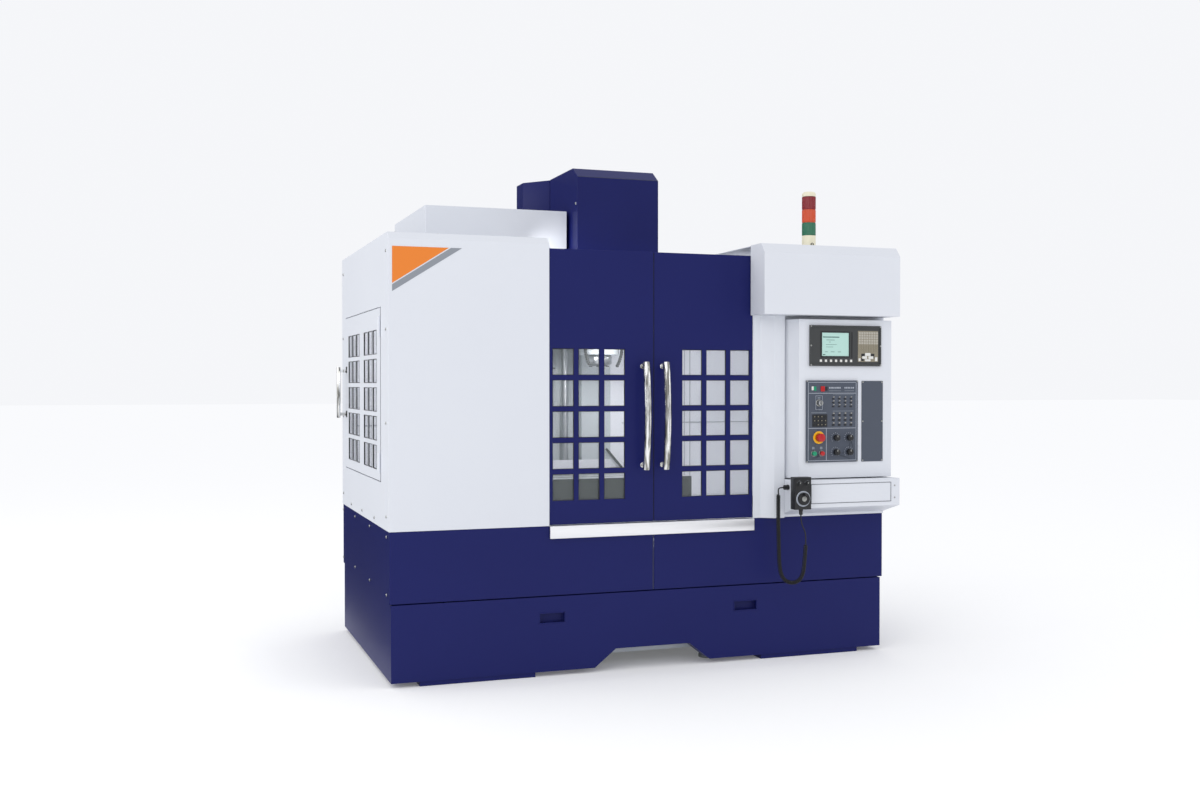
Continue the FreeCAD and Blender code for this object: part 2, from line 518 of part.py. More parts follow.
def door(side, left, window, grip_middle):
    """A sliding door: a folded panel with a barred window, its pane and its bowed grip."""
    leaf = block((left, f"{left} + {DOOR_WIDTH} - 1"), ("door_recess", DOOR_BACK),
                 ("door_bottom", "door_top"))
    hollow = block((f"{left} + 3", f"{left} + {DOOR_WIDTH} - 4"),
                   ("door_recess + sheet", f"{DOOR_BACK} + 1"),
                   ("door_bottom + sheet", "door_top - sheet"))
    lip = block((f"{window} - 12", f"{window} + {WINDOW_WIDE} + 12"),
                ("door_recess", "door_recess + sheet + 6"),
                ("window_bottom - 12", f"window_bottom + {WINDOW_TALL} + 12"))
    holes = pane_holes(window, "window_bottom", ("door_recess - 1", f"{DOOR_BACK} + 1"),
                       "pane_wide", "pane_tall", int(SIZES["pane_columns"]), "x")
    node(f"{side}_door", cut(join(cut(leaf, hollow), lip), *holes))
    node(f"{side}_window", block((f"{window} - 10", f"{window} + {WINDOW_WIDE} + 10"),
                                 ("door_recess + sheet + 6", "door_recess + sheet + 6 + glass"),
                                 ("window_bottom - 10", f"window_bottom + {WINDOW_TALL} + 10")))
    bend = "(grip_length * grip_length / 8 / grip_bow + grip_bow / 2)"
    bow = doc.addObject("Part::Torus", "bow")
    tie(bow, Radius1=bend, Radius2="grip_radius", Angle3=f"2 * asin(grip_length / 2 / {bend})")
    doc.recompute()
    # the ring stands up, with the middle of its arc to the front
    upright = Rotation(Vector(0, -1, 0), Vector(0, 0, 1), Vector(-1, 0, 0), "XYZ")
    bow.Placement = Placement(Vector(), upright * Rotation(Vector(0, 0, 1), -bow.Angle3.Value / 2))
    move(bow, grip_middle, f"{GRIP_BACK} - grip_bow + {bend}", "grip_bottom + grip_length / 2")
    posts = [rod("y", (grip_middle, GRIP_BACK, up), 9, "grip_standoff + grip_radius")
             for up in ("grip_bottom + 18", "grip_bottom + grip_length - 18")]
    node(f"{side}_handle", join(bow, *posts))


door("left", LEFT_DOOR, f"{LEFT_DOOR} + window_inset", f"{OPEN_MIDDLE} - grip_side")
door("right", RIGHT_DOOR, f"{OPEN_RIGHT} - 1 - window_inset - {WINDOW_WIDE}",
     f"{OPEN_MIDDLE} + grip_side - 15")

# ---------------------------------------------------------------- side door
SIDE_LOW, SIDE_HIGH = "(side_front + side_gap)", "(side_rear - side_gap)"
SIDE_FOOT, SIDE_HEAD = "(side_bottom + side_gap)", "(side_top - side_gap)"
leaf = block(("-side_lip", "side_thick"), (SIDE_LOW, SIDE_HIGH), (SIDE_FOOT, SIDE_HEAD))
hollow = block(("sheet", "side_thick + 1"), (f"{SIDE_LOW} + sheet", f"{SIDE_HIGH} - sheet"),
               (f"{SIDE_FOOT} + sheet", f"{SIDE_HEAD} - sheet"))
SIDE_WIDE = "(3 * side_pane_wide + 2 * bar_wide)"
SIDE_TALL = "(pane_rows * side_pane_tall + (pane_rows - 1) * bar_wide)"
SECOND = f"(side_window_front + {SIDE_WIDE} + side_window_gap)"
holes = []
for start in ("side_window_front", SECOND):
    holes += pane_holes(start, "side_window_bottom", ("-side_lip - 1", "side_thick + 1"),
                        "side_pane_wide", "side_pane_tall", 3, "y")
knuckles = [rod("z", ("-hinge_out", "side_front + 3", up), "hinge_radius", 90)
            for up in (f"{SIDE_FOOT} + 40", f"{SIDE_HEAD} - 130")]
node("side_door", join(cut(leaf, hollow, *holes), *knuckles))
node("side_window", block(("sheet", "sheet + glass"),
                          ("side_window_front - 10", f"{SECOND} + {SIDE_WIDE} + 10"),
                          ("side_window_bottom - 10", f"side_window_bottom + {SIDE_TALL} + 10")))
SIDE_GRIP_BACK = f"({SIDE_HIGH} - 36)"
bar = rod("z", ("-handle_reach + side_grip_radius", SIDE_GRIP_BACK, "side_grip_bottom"), "side_grip_radius",
          "side_grip_length")
brackets = [block(("-handle_reach + side_grip_radius", "-side_lip"),
                  (f"{SIDE_GRIP_BACK} - 9", f"{SIDE_GRIP_BACK} + 9"), (up, f"{up} + 16"))
            for up in ("side_grip_bottom + 12", "side_grip_bottom + side_grip_length - 28")]
node("side_handle", join(bar, *brackets))

# ---------------------------------------------------------------- tool magazine
cover = block(("magazine_left", "magazine_right"), ("magazine_front", "side_depth"),
              ("guard_top", "magazine_top"))
cover_hollow = block(("magazine_left + sheet", "magazine_right - sheet"),
                     ("magazine_front + sheet", "side_depth - sheet"), ("guard_top - 1",
                                                                        "magazine_top - sheet"))
notch = block((f"{COLUMN_LEFT} - 10", "magazine_right + 1"), ("column_front - 10", "side_depth + 1"),
              ("guard_top - 1", "magazine_top + 1"))
node("magazine_cover", cut(cover, cover_hollow, notch))

arm = block((f"{DISC_MIDDLE} - 280", f"{COLUMN_LEFT} + 40"),
            ("column_front - 130", "column_front"), (f"{RAIL_UP} - 90", f"{RAIL_UP} + 90"))
rails = [rod("x", (f"{DISC_MIDDLE} - 260", "column_front - 160", f"{RAIL_UP} + {side} * 60"), 14, 540)
         for side in (-1, 1)]
ends = [block((low, f"{low} + 20"), ("column_front - 185", "column_front - 120"),
              (f"{RAIL_UP} - 90", f"{RAIL_UP} + 90"))
        for low in (f"{DISC_MIDDLE} - 270", f"{DISC_MIDDLE} + 262")]
clearance = block((f"{DISC_MIDDLE} - 245", f"{DISC_MIDDLE} + 258"),
                  ("column_front - 131", "column_front - 110"),
                  (f"{RAIL_UP} - 91", f"{RAIL_UP} + 91"))
node("magazine_bracket", join(cut(arm, clearance), *rails, *ends))

CARRIAGE = (f"{DISC_MIDDLE} - 220", f"{DISC_MIDDLE} - 40")
slider = block(CARRIAGE, ("column_front - 200", "column_front - 136"),
               (f"{RAIL_UP} - 88", f"{RAIL_UP} + 88"))
slider_bores = [rod("x", (f"{DISC_MIDDLE} - 230", "column_front - 160", f"{RAIL_UP} + {side} * 60"),
                    "14 + slide_gap", 200) for side in (-1, 1)]
beam = block((f"{DISC_MIDDLE} - 130", f"{DISC_MIDDLE} + 36"), ("spindle_back - 60", "column_front - 199"),
             (f"{RAIL_UP} - 60", f"{RAIL_UP} + 20"))
hub = rod("z", (DISC_MIDDLE, "spindle_back", f"{DISC_TOP} + slide_gap"), 40, "280")
node("magazine_carriage", join(cut(slider, *slider_bores), beam, hub))

disc = rod("z", (DISC_MIDDLE, "spindle_back", f"{DISC_TOP} - disc_thick"), "disc_radius", "disc_thick")
pockets = []
for i in range(int(SIZES["pocket_count"])):
    turn = f"{i} * 360 / pocket_count"
    pocket = rod("z", (f"{DISC_MIDDLE} + pocket_circle * cos({turn})",
                       f"spindle_back + pocket_circle * sin({turn})", f"{DISC_TOP} - disc_thick - 1"),
                 "pocket_radius", "disc_thick + 2")
    pockets.append(pocket)
    mouth = block((0, "disc_radius"), ("-pocket_radius * 0.8", "pocket_radius * 0.8"),
                  (0, "disc_thick + 2"))
    mouth.Placement = Placement(Vector(), Rotation(Vector(0, 0, 1), i * 360 / SIZES["pocket_count"]))
    move(mouth, f"{DISC_MIDDLE} + pocket_circle * cos({turn}) + pocket_radius * 0.8 * sin({turn})",
         f"spindle_back + pocket_circle * sin({turn}) - pocket_radius * 0.8 * cos({turn})",
         f"{DISC_TOP} - disc_thick - 1")
    pockets.append(mouth)
boss = rod("z", (DISC_MIDDLE, "spindle_back", f"{DISC_TOP} - disc_thick - 30"), 80, 31)
node("magazine_disc", cut(join(disc, boss), *pockets))

# ---------------------------------------------------------------- control box and shelf
box_plan = [("box_left", "0"), ("box_left + box_bevel", BOX_FACE), ("box_right", BOX_FACE),
            ("box_right", "0")]
hollow_plan = [("box_left + 6", "-sheet"), ("box_left + box_bevel + 3", f"{BOX_FACE} + sheet"),
               ("box_right - sheet", f"{BOX_FACE} + sheet"), ("box_right - sheet", "-sheet")]
node("shelf", cut(
    prism("x", [("0", "shelf_top"), ("0", "shelf_heel"), ("-shelf_reach", "shelf_edge"),
                ("-shelf_reach", "shelf_top")], "box_left", "overall_width"),
    prism("x", [("-sheet", "shelf_top - sheet"), ("-sheet", "shelf_heel + 2 * sheet"),
                ("-shelf_reach + sheet", "shelf_edge + 2 * sheet"), ("-shelf_reach + sheet",
                                                                     "shelf_top - sheet")],
          "box_left + sheet", "overall_width - sheet")))
node("display_unit", block(("display_left", "display_left + display_wide"), (PANEL_FACE, BOX_FACE),
                           ("display_bottom", "display_bottom + display_tall")))

CONTROLS = {  # name: (right, up, radius, how far it stands out)
    "emergency_stop": ("stop_right", "stop_up", "stop_radius", "stop_tall"),
    "start_button": ("start_right", "start_up", "button_radius", "button_tall"),
    "hold_button": ("hold_right", "start_up", "button_radius", "button_tall"),
    "key_switch": ("key_right", "key_up", "key_radius", "key_tall"),
}
for row in (0, 1):
    for column in (0, 1):
        CONTROLS[f"override_knob_{1 + column + 2 * row}"] = (
            f"(knob_left + {column} * knob_pitch)", f"(knob_low + {1 - row} * knob_rise)",
            "knob_radius", "knob_tall")

panel_bores, box_bores = [], []
for name, (right, up, radius, tall) in CONTROLS.items():
    for bores in (panel_bores, box_bores):
        bores.append(rod("y", (right, f"{PANEL_FACE} - 1", up), "5 + slide_gap", "plate_thick + sheet + 2"))
    cap = rod("y", (right, f"{PANEL_FACE} - {tall} - stop_travel - button_gap", up), radius, tall)
    stem = rod("y", (right, f"{PANEL_FACE} - stop_travel - button_gap - 1", up), 5,
               "plate_thick + stop_travel + button_gap + 1 - slide_gap")
    node(name, join(cap, stem))
node("operator_panel", cut(block(("panel_left", "panel_left + panel_wide"), (PANEL_FACE, BOX_FACE),
                                 ("panel_bottom", "panel_bottom + panel_tall")), *panel_bores))
node("control_box", cut(prism("z", box_plan, "box_bottom", "box_top"),
                        prism("z", hollow_plan, "box_bottom + sheet", "box_top - sheet"), *box_bores))

# ---------------------------------------------------------------- signal tower
TOWER = ("tower_right", "tower_back")
rise = "(guard_top)"
node("tower_base", rod("z", (*TOWER, rise), "tower_radius", "tower_base_tall"))
rise = f"({rise} + tower_base_tall)"
for colour in ("green", "amber", "red"):
    node(f"{colour}_lens", rod("z", (*TOWER, rise), "tower_radius", "lens_tall"))
    rise = f"({rise} + lens_tall)"
node("tower_cap", turned([(0, rise), ("tower_radius", rise),
                          ("tower_radius", f"{rise} + tower_cap_tall - 8"),
                          ("tower_radius - 8", f"{rise} + tower_cap_tall"), (0,
                                                                             f"{rise} + tower_cap_tall")],
                         (*TOWER, 0)))

# ---------------------------------------------------------------- electrical cabinet
CABINET_RIGHT = "(cabinet_left + cabinet_wide)"
CABINET_TOP = "(cabinet_bottom + cabinet_tall)"
case = block(("cabinet_left", CABINET_RIGHT), (f"{BACK_WALL} + sheet", "cabinet_back - 24"),
             ("cabinet_bottom", CABINET_TOP))
room = block(("cabinet_left + cabinet_wall", f"{CABINET_RIGHT} - cabinet_wall"),
             (f"{BACK_WALL} + sheet + cabinet_wall", "cabinet_back - 23"),
             ("cabinet_bottom + cabinet_wall", f"{CABINET_TOP} - cabinet_wall"))
node("electrical_cabinet", cut(case, room))
leaf = block(("cabinet_left", CABINET_RIGHT), ("cabinet_back - 23.5", "cabinet_back - 2"),
             ("cabinet_bottom", CABINET_TOP))
leaf_hollow = block(("cabinet_left + 4", f"{CABINET_RIGHT} - 4"), ("cabinet_back - 24", "cabinet_back - 5"),
                    ("cabinet_bottom + 4", f"{CABINET_TOP} - 4"))
pulls = [rod("y", (f"{CABINET_RIGHT} - 60", "cabinet_back - 6", up), 16, 20)
         for up in ("cabinet_bottom + 400", f"{CABINET_TOP} - 400")]
knuckles = [rod("z", ("cabinet_left", "cabinet_back", up), "hinge_radius", 90)
            for up in ("cabinet_bottom + 200", f"{CABINET_TOP} - 290")]
node("cabinet_door", join(cut(leaf, leaf_hollow), *pulls, *knuckles))

# ---------------------------------------------------------------- pendant and cord
PENDANT_BACK = "(-shelf_reach - pendant_gap)"
PENDANT_FRONT = f"({PENDANT_BACK} - pendant_deep)"
PENDANT_MIDDLE = "(pendant_left + pendant_wide / 2)"
pendant = block(("pendant_left", "pendant_left + pendant_wide"), (PENDANT_FRONT, PENDANT_BACK),
                ("pendant_bottom", "pendant_bottom + pendant_tall"))
hook = block((f"{PENDANT_MIDDLE} + 8", f"{PENDANT_MIDDLE} + 34"), (f"{PENDANT_BACK} - 2", "-shelf_reach"),
             ("pendant_bottom + 70", "pendant_bottom + 130"))
dial_bore = rod("y", (PENDANT_MIDDLE, f"{PENDANT_FRONT} - 1", "pendant_bottom + 52"), "6 + slide_gap", 22)
nipple = rod("z", (PENDANT_MIDDLE, f"{PENDANT_FRONT} + 23", "pendant_bottom - 26"), 9, 30)
node("pendant", cut(join(pendant, hook, nipple), dial_bore))
dial = rod("y", (PENDANT_MIDDLE, f"{PENDANT_FRONT} - dial_tall", "pendant_bottom + 52"), "dial_radius",
           "dial_tall - button_gap")
stem = rod("y", (PENDANT_MIDDLE, f"{PENDANT_FRONT} - 1", "pendant_bottom + 52"), 6, 20)
node("pendant_dial", join(dial, stem))

node("cord_gland", rod("x", ("box_left - gland_long", -80, 850), "gland_radius", "gland_long"))

# The curly cord leaves the gland, hangs in a loop and comes up into the pendant.
LEAD_OUT = [(1918, -80, 850), (1900, -80, 850), (1884, -86, 846), (1880.19, -91.81, 836), (1880, -92, 824)]
CURL = [(1880, -92, 824), (1878, -94, 700), (1880, -97, 570), (1881, -101, 470), (1891, -108, 418),
        (1915, -122, 392), (1949, -144, 392), (1973, -158, 418), (1983, -165, 470), (1986, -172, 585)]
LEAD_IN = [(1986, -172, 585), (1986.5, -173.2, 605), (1983, -175, 640), (1964, -178, 672),
           (1956, -179, 702), (1956, -179, 726)]


def tube(name, points, width):
    """A round section carried along straight runs joined by tangent arcs."""
    places = [Vector(*p) for p in points]
    edges, radii, start = [], [], places[0]
    for before, corner, after in zip(places, places[1:], places[2:]):
        way_in, way_out = (corner - before).normalize(), (after - corner).normalize()
        turn = way_in.getAngle(way_out)
        trim = 0.45 * min((corner - before).Length, (after - corner).Length)
        radius = trim / math.tan(turn / 2)
        radii.append(round(radius))
        first, last = corner - way_in * trim, corner + way_out * trim
        inward = (way_out - way_in).normalize()
        middle = corner + inward * (radius / math.cos(turn / 2) - radius)
        edges.append(Part.LineSegment(start, first).toShape())
        edges.append(Part.Arc(first, middle, last).toShape())
        start = last
    edges.append(Part.LineSegment(start, places[-1]).toShape())
    path = Part.Wire(edges)
    ring = Part.Wire([Part.Circle(places[0], places[1] - places[0], width / 2).toShape()])
    shape = path.makePipeShell([ring], True, False)
    item = doc.addObject("Part::Feature", name + "_run")
    item.Shape = shape
    print(name, "radii", radii, "volume over section times length",
          round(shape.Volume / (math.pi * width ** 2 / 4 * path.Length), 4), "length", round(path.Length))
    node(name, item)


tube("cord_lead_upper", LEAD_OUT, sheet.lead_width)
tube("cord_curl", CURL, sheet.curl_width)
tube("cord_lead_lower", LEAD_IN, sheet.lead_width)

# ---------------------------------------------------------------- checks and export
doc.recompute()
for item in doc.Objects:
    if {"Invalid", "Error"} & set(item.State):
        raise RuntimeError(f"{item.Name} ({item.Label}) failed: {item.State}")
for name, item in nodes.items():
    if item.Shape.isNull() or not item.Shape.isValid() or not item.Shape.Solids:
        raise RuntimeError(f"{name} has no valid shape")
os.makedirs("parts", exist_ok=True)
for name, item in nodes.items():
    item.Shape.exportStep(f"parts/{name}.step")
whole = FreeCAD.BoundBox()
for name, item in nodes.items():
    whole.add(item.Shape.BoundBox)
print(len(nodes), "nodes", whole)
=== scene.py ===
import bmesh
import bpy
import math
import numpy as np
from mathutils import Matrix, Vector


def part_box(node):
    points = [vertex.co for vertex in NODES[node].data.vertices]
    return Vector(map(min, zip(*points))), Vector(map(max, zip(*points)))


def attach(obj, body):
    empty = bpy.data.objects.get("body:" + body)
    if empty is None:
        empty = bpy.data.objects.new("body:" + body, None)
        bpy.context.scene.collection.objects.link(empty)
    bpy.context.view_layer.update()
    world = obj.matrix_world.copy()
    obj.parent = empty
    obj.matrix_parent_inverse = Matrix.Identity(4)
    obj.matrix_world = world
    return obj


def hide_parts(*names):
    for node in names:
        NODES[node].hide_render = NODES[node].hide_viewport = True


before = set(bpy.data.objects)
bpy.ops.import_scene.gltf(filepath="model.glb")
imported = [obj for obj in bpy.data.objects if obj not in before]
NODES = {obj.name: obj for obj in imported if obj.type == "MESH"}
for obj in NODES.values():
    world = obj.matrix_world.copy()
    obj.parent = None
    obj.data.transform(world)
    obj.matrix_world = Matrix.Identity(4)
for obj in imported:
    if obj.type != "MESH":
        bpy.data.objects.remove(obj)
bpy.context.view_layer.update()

# ---- The place where it stands ------------
# A plain pale floor in an evenly lit white studio, with three large soft lamps, three small
# ones in the machine, and dark flags that only reflections show. The camera stands to the
# left of the machine, at about the height of a person's chest.


def linear(code, alpha=1.0):
    """The linear colour of an sRGB hex value: each channel c becomes ((c+0.055)/1.055)^2.4."""
    parts = np.array([int(code[i:i + 2], 16) for i in (1, 3, 5)]) / 255
    curve = np.where(parts <= 0.04045, parts / 12.92, ((parts + 0.055) / 1.055) ** 2.4)
    return (*curve.tolist(), alpha)


def add(tree, kind, links=None, **settings):
    """Adds a node, gives it settings, and links or sets its inputs."""
    node = tree.nodes.new(kind)
    for name, value in settings.items():
        setattr(node, name, value)
    for name, value in (links or {}).items():
        if isinstance(value, bpy.types.NodeSocket):
            tree.links.new(value, node.inputs[name])
        else:
            node.inputs[name].default_value = value
    return node


def finish_of(name, **shader):
    """A material with a bare Principled shader. Returns it, its tree and the shader."""
    made = bpy.data.materials.new(name)
    made.use_nodes = True
    made.node_tree.nodes.clear()
    bsdf = add(made.node_tree, "ShaderNodeBsdfPrincipled", shader)
    output = add(made.node_tree, "ShaderNodeOutputMaterial")
    made.node_tree.links.new(bsdf.outputs["BSDF"], output.inputs["Surface"])
    return made, made.node_tree, bsdf


def surface(name, grid, closed=False, material=None):
    """A mesh over a grid of points (rows, columns, 3). Closed joins the last column to the first
    and caps the first and last rows."""
    rows, columns = grid.shape[:2]
    index = np.arange(rows * columns).reshape(rows, columns)
    after = np.roll(index, -1, axis=1) if closed else index[:, 1:]
    here = index if closed else index[:, :-1]
    quads = np.stack([here[:-1], after[:-1], after[1:], here[1:]], axis=-1).reshape(-1, 4)
    faces = quads.tolist()
    if closed:
        faces += [index[0, ::-1].tolist(), index[-1].tolist()]
    mesh = bpy.data.meshes.new(name)
    mesh.from_pydata(grid.reshape(-1, 3).tolist(), [], faces)
    mesh.update()
    piece = bpy.data.objects.new(name, mesh)
    bpy.context.scene.collection.objects.link(piece)
    if material:
        mesh.materials.append(material)
    return piece


def flat(name, corner, along, across, material):
    """A flat sheet: point (s, t) = corner + s along + t across, with s and t 0 or 1."""
    s, t = np.meshgrid((0, 1), (0, 1))
    grid = np.array(corner) + s[..., None] * np.array(along) + t[..., None] * np.array(across)
    return surface(name, grid[::-1].astype(float), material=material)


floor_paint, _, _ = finish_of("studio_floor", **{
    "Base Color": linear("#f6f6f6"), "Roughness": 0.75, "Specular IOR Level": 0.0,
    "Emission Color": linear("#ffffff"), "Emission Strength": 0.11})
FLOOR_WIDE = 160
flat("floor", (-FLOOR_WIDE / 2, -FLOOR_WIDE / 2, 0), (FLOOR_WIDE, 0, 0), (0, FLOOR_WIDE, 0),
              floor_paint)
flag_cloth, _, _ = finish_of("black_flag_cloth", **{"Base Color": linear("#2c2f38"), "Roughness": 0.95})
FLAGS = {  # a corner and the two edges from it
    "flag_behind": ((-11, 8.5, 0), (9.8, 0, 0), (0, 0, 6)),
    "flag_ground": ((-9, -1.0, 0.003), (7.6, 0, 0), (0, 9.4, 0)),
    "flag_right": ((3.2, -7.0, 0), (1.6, 1.2, 0), (0, 0, 6)),
    "flag_left": ((-6.4, -3.4, 0), (-0.8, 2.0, 0), (0, 0, 6)),
}
for name, (corner, run, rise) in FLAGS.items():
    flag = flat(name, corner, run, rise, flag_cloth)
    flag.visible_camera = flag.visible_diffuse = False
    flag.visible_shadow = flag.visible_transmission = False

world = bpy.data.worlds.new("studio")
bpy.context.scene.world = world
world.use_nodes = True
sky = world.node_tree.nodes["Background"]
sky.inputs["Color"].default_value = linear("#fbfcff")
sky.inputs["Strength"].default_value = 0.95
LAMPS = {  # place, aim, size, watts
    "key_lamp": ((-5.5, -6.5, 5.0), (0.2, 0, 1.1), 4.0, 90),
    "side_lamp": ((6.0, -5.0, 3.6), (0, 0, 1.1), 4.0, 30),
    "work_lamp": ((0.02, -0.70, 1.58), (0.05, 0.3, 0.95), 0.35, 8),
    "work_lamp_left": ((-0.75, -0.62, 1.85), (0.0, 0.45, 1.0), 0.3, 8),
    "work_lamp_right": ((0.95, -0.62, 1.85), (0.5, 0.45, 1.0), 0.3, 2),
    "left_lamp": ((-7.5, 0.5, 3.0), (-1.2, 0.2, 1.2), 4.0, 110),
}
for name, (place, aim, size, watts) in LAMPS.items():
    data = bpy.data.lights.new(name, "AREA")
    data.shape, data.size, data.energy = "SQUARE", size, watts
    lamp = bpy.data.objects.new(name, data)
    lamp.location = place
    away = np.subtract(place, aim)
    lamp.rotation_euler = (math.atan2(math.hypot(*away[:2]), away[2]), 0, math.atan2(away[0], -away[1]))
    lamp.visible_camera = False
    bpy.context.scene.collection.objects.link(lamp)

CAMERA_TURN, CAMERA_DIP, CAMERA_LENS = 19.58, 0.74, 37.8
eye = bpy.data.objects.new("eye", bpy.data.cameras.new("eye"))
eye.data.sensor_width, eye.data.lens = 36, CAMERA_LENS
eye.location = (-2.2215, -6.407, 1.356)
eye.rotation_euler = (math.radians(90 - CAMERA_DIP), 0, math.radians(-CAMERA_TURN))
bpy.context.scene.collection.objects.link(eye)
bpy.context.scene.camera = eye
bpy.context.scene.view_settings.view_transform = "Standard"


# ---- Powder-coated sheet metal ------------
# The guards, covers, doors, hood and tank are folded steel sheet under a baked powder
# coat: satin, a little glossy, with a fine orange-peel texture that breaks up highlights.

ORANGE_PEEL = 0.004  # metres between the coat's ripples, coarse enough to show
MIX_FIRST, MIX_SECOND, MIX_COLOUR = 6, 7, 2  # the colour sockets of a mix node


def placed_by(tree):
    """The piece's own coordinates, in metres."""
    return add(tree, "ShaderNodeTexCoord").outputs["Object"]


def noise(tree, vector, size, detail):
    """Cloudy noise from 0 to 1, whose features are about size metres apart."""
    clouds = add(tree, "ShaderNodeTexNoise", {"Vector": vector, "Scale": 1 / size, "Detail": detail})
    return clouds.outputs["Fac"]


def tinted(tree, bsdf, factor, first, second):
    """Colours a shader: first where the factor is 0, second where it is 1."""
    tint = add(tree, "ShaderNodeMix", {"Factor": factor}, data_type="RGBA")
    tint.inputs[MIX_FIRST].default_value, tint.inputs[MIX_SECOND].default_value = first, second
    tree.links.new(tint.outputs[MIX_COLOUR], bsdf.inputs["Base Color"])


def bumped(tree, bsdf, height, strength, distance):
    """Gives a shader relief: a height from 0 to 1 that stands for distance metres."""
    bump = add(tree, "ShaderNodeBump", {"Height": height, "Strength": strength, "Distance": distance})
    tree.links.new(bump.outputs["Normal"], bsdf.inputs["Normal"])


def powder_coat(name, shade, deeper, rough, gloss, ripple=0.10):
    """Powder coat on steel: two close shades mottled over half a metre, a fine ripple as bump."""
    made, tree, bsdf = finish_of(name, **{"Roughness": rough, "IOR": 1.5, "Specular IOR Level": gloss})
    place = placed_by(tree)
    tinted(tree, bsdf, noise(tree, place, 1 / 2.2, 4.0), linear(shade), linear(deeper))
    bumped(tree, bsdf, noise(tree, place, ORANGE_PEEL, 2.0), ripple, 0.0006)
    return made


def coat(material, *names):
    """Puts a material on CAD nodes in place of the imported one."""
    for name in names:
        mesh = NODES[name].data
        mesh.materials.clear()
        mesh.materials.append(material)


FOLD_ANGLE, WELD = 28, 0.00002  # the least angle that is rounded, in degrees, and a closed gap, in metres


def soften(width, *names, round_faces=False):
    """Folded edges have a small radius: the triangles are welded and sharp edges rounded."""
    for name in names:
        node = NODES[name]
        if round_faces:
            node.data.shade_smooth()
        weld = node.modifiers.new("weld", "WELD")
        weld.merge_threshold = WELD
        bevel = node.modifiers.new("fold", "BEVEL")
        bevel.limit_method, bevel.angle_limit = "ANGLE", math.radians(FOLD_ANGLE)
        bevel.width, bevel.segments, bevel.harden_normals = width, 2, round_faces
        bevel.use_clamp_overlap = True


navy = powder_coat("navy_powder_coat", "#171d5c", "#141a57", 0.42, 0.18)
white = powder_coat("white_powder_coat", "#dadde3", "#d7dae1", 0.45, 0.3)
NAVY_SHEETS = ("base_cover_left", "base_cover_right", "coolant_tank", "left_door", "right_door",
               "head_cover", "column_cover", "door_header")
WHITE_SHEETS = ("left_guard", "right_guard", "hood", "control_box", "shelf", "magazine_cover", "side_door",
                "electrical_cabinet", "cabinet_door")
coat(navy, *NAVY_SHEETS)
coat(white, *WHITE_SHEETS)
soften(0.0015, *WHITE_SHEETS, *NAVY_SHEETS)


# ---- Machined and cast iron ------------
# The bed, column, saddle, head and magazine arm are grey iron castings under thick machine enamel;
# the table and the feet are bare iron, milled and then ground; the table's sides are painted shade.


def enamel(name, shade, rough):
    """Brushed-on machine enamel over a sand casting: soft waves of a few centimetres as bump."""
    made, tree, bsdf = finish_of(name, **{"Base Color": linear(shade), "Roughness": rough})
    bumped(tree, bsdf, noise(tree, placed_by(tree), 0.03, 3.0), 0.25, 0.002)
    return made


def drawn_out(tree, stretch):
    """The piece's own coordinates, shrunk on each axis by its stretch, so that marks run along it."""
    return add(tree, "ShaderNodeMapping", {"Vector": placed_by(tree), "Scale": stretch}).outputs["Vector"]


def bare_metal(name, shade, rough, grain, stretch=(1, 1, 1), strength=0.15):
    """Bare metal with its tool marks: noise drawn out along one axis, grain metres apart."""
    made, tree, bsdf = finish_of(name, **{"Base Color": linear(shade), "Metallic": 1.0})
    marks = noise(tree, drawn_out(tree, stretch), grain, 3.0)
    gloss = add(tree, "ShaderNodeMapRange", {"Value": marks, "To Min": rough - 0.06,
                                             "To Max": rough + 0.08})
    tree.links.new(gloss.outputs["Result"], bsdf.inputs["Roughness"])
    bumped(tree, bsdf, marks, strength, 0.0004)
    return made


casting = enamel("machine_enamel", "#b9bfc4", 0.4)
iron = bare_metal("ground_iron", "#8d9290", 0.36, 0.002, (0.15, 1, 1))
steel = bare_metal("ground_steel", "#b4b6b9", 0.28, 0.002, (1, 1, 0.2))
stainless = bare_metal("brushed_stainless", "#c9cacc", 0.3, 0.0015, (0.03, 1, 1), 0.1)
bright = bare_metal("bright_rolled_stainless", "#f2f2f4", 0.3, 0.0015, (0.03, 1, 1), 0.06)

# Chrome whose colour is painted reflection: dark and bright streaks run along its length, and the same
# streaks set its roughness.
chrome, tree, bsdf = finish_of("polished_chrome_painted_reflection", **{"Metallic": 1.0})
polish_and_reflection_streak = noise(tree, drawn_out(tree, (1, 1, 0.1)), 0.012, 2.0)
painted_reflection_bands = add(tree, "ShaderNodeMapRange", {"Value": polish_and_reflection_streak, "From Min": 0.42, "From Max": 0.58})
tinted(tree, bsdf, painted_reflection_bands.outputs["Result"], linear("#8b8a85"), linear("#f1f1ef"))
shine = add(tree, "ShaderNodeMapRange", {"Value": polish_and_reflection_streak, "To Min": 0.05, "To Max": 0.22})
tree.links.new(shine.outputs["Result"], bsdf.inputs["Roughness"])

# The table's top is ground iron. Its sides, picked out by their normals, are painted near-black as painted
# shade and are not metallic.
table_iron_painted_shade, tree, bsdf = finish_of("table_ground_top_painted_shade_sides", **{"Roughness": 0.34})
outward = add(tree, "ShaderNodeNewGeometry").outputs["Normal"]
facing = add(tree, "ShaderNodeSeparateXYZ", {"Vector": outward})
on_top = add(tree, "ShaderNodeMath", {0: facing.outputs["Z"], 1: 0.7},
             operation="GREATER_THAN").outputs["Value"]
tinted(tree, bsdf, on_top, linear("#131512"), linear("#d2d4d4"))
tree.links.new(on_top, bsdf.inputs["Metallic"])
bumped(tree, bsdf, noise(tree, placed_by(tree), 0.004, 3.0), 0.2, 0.0004)

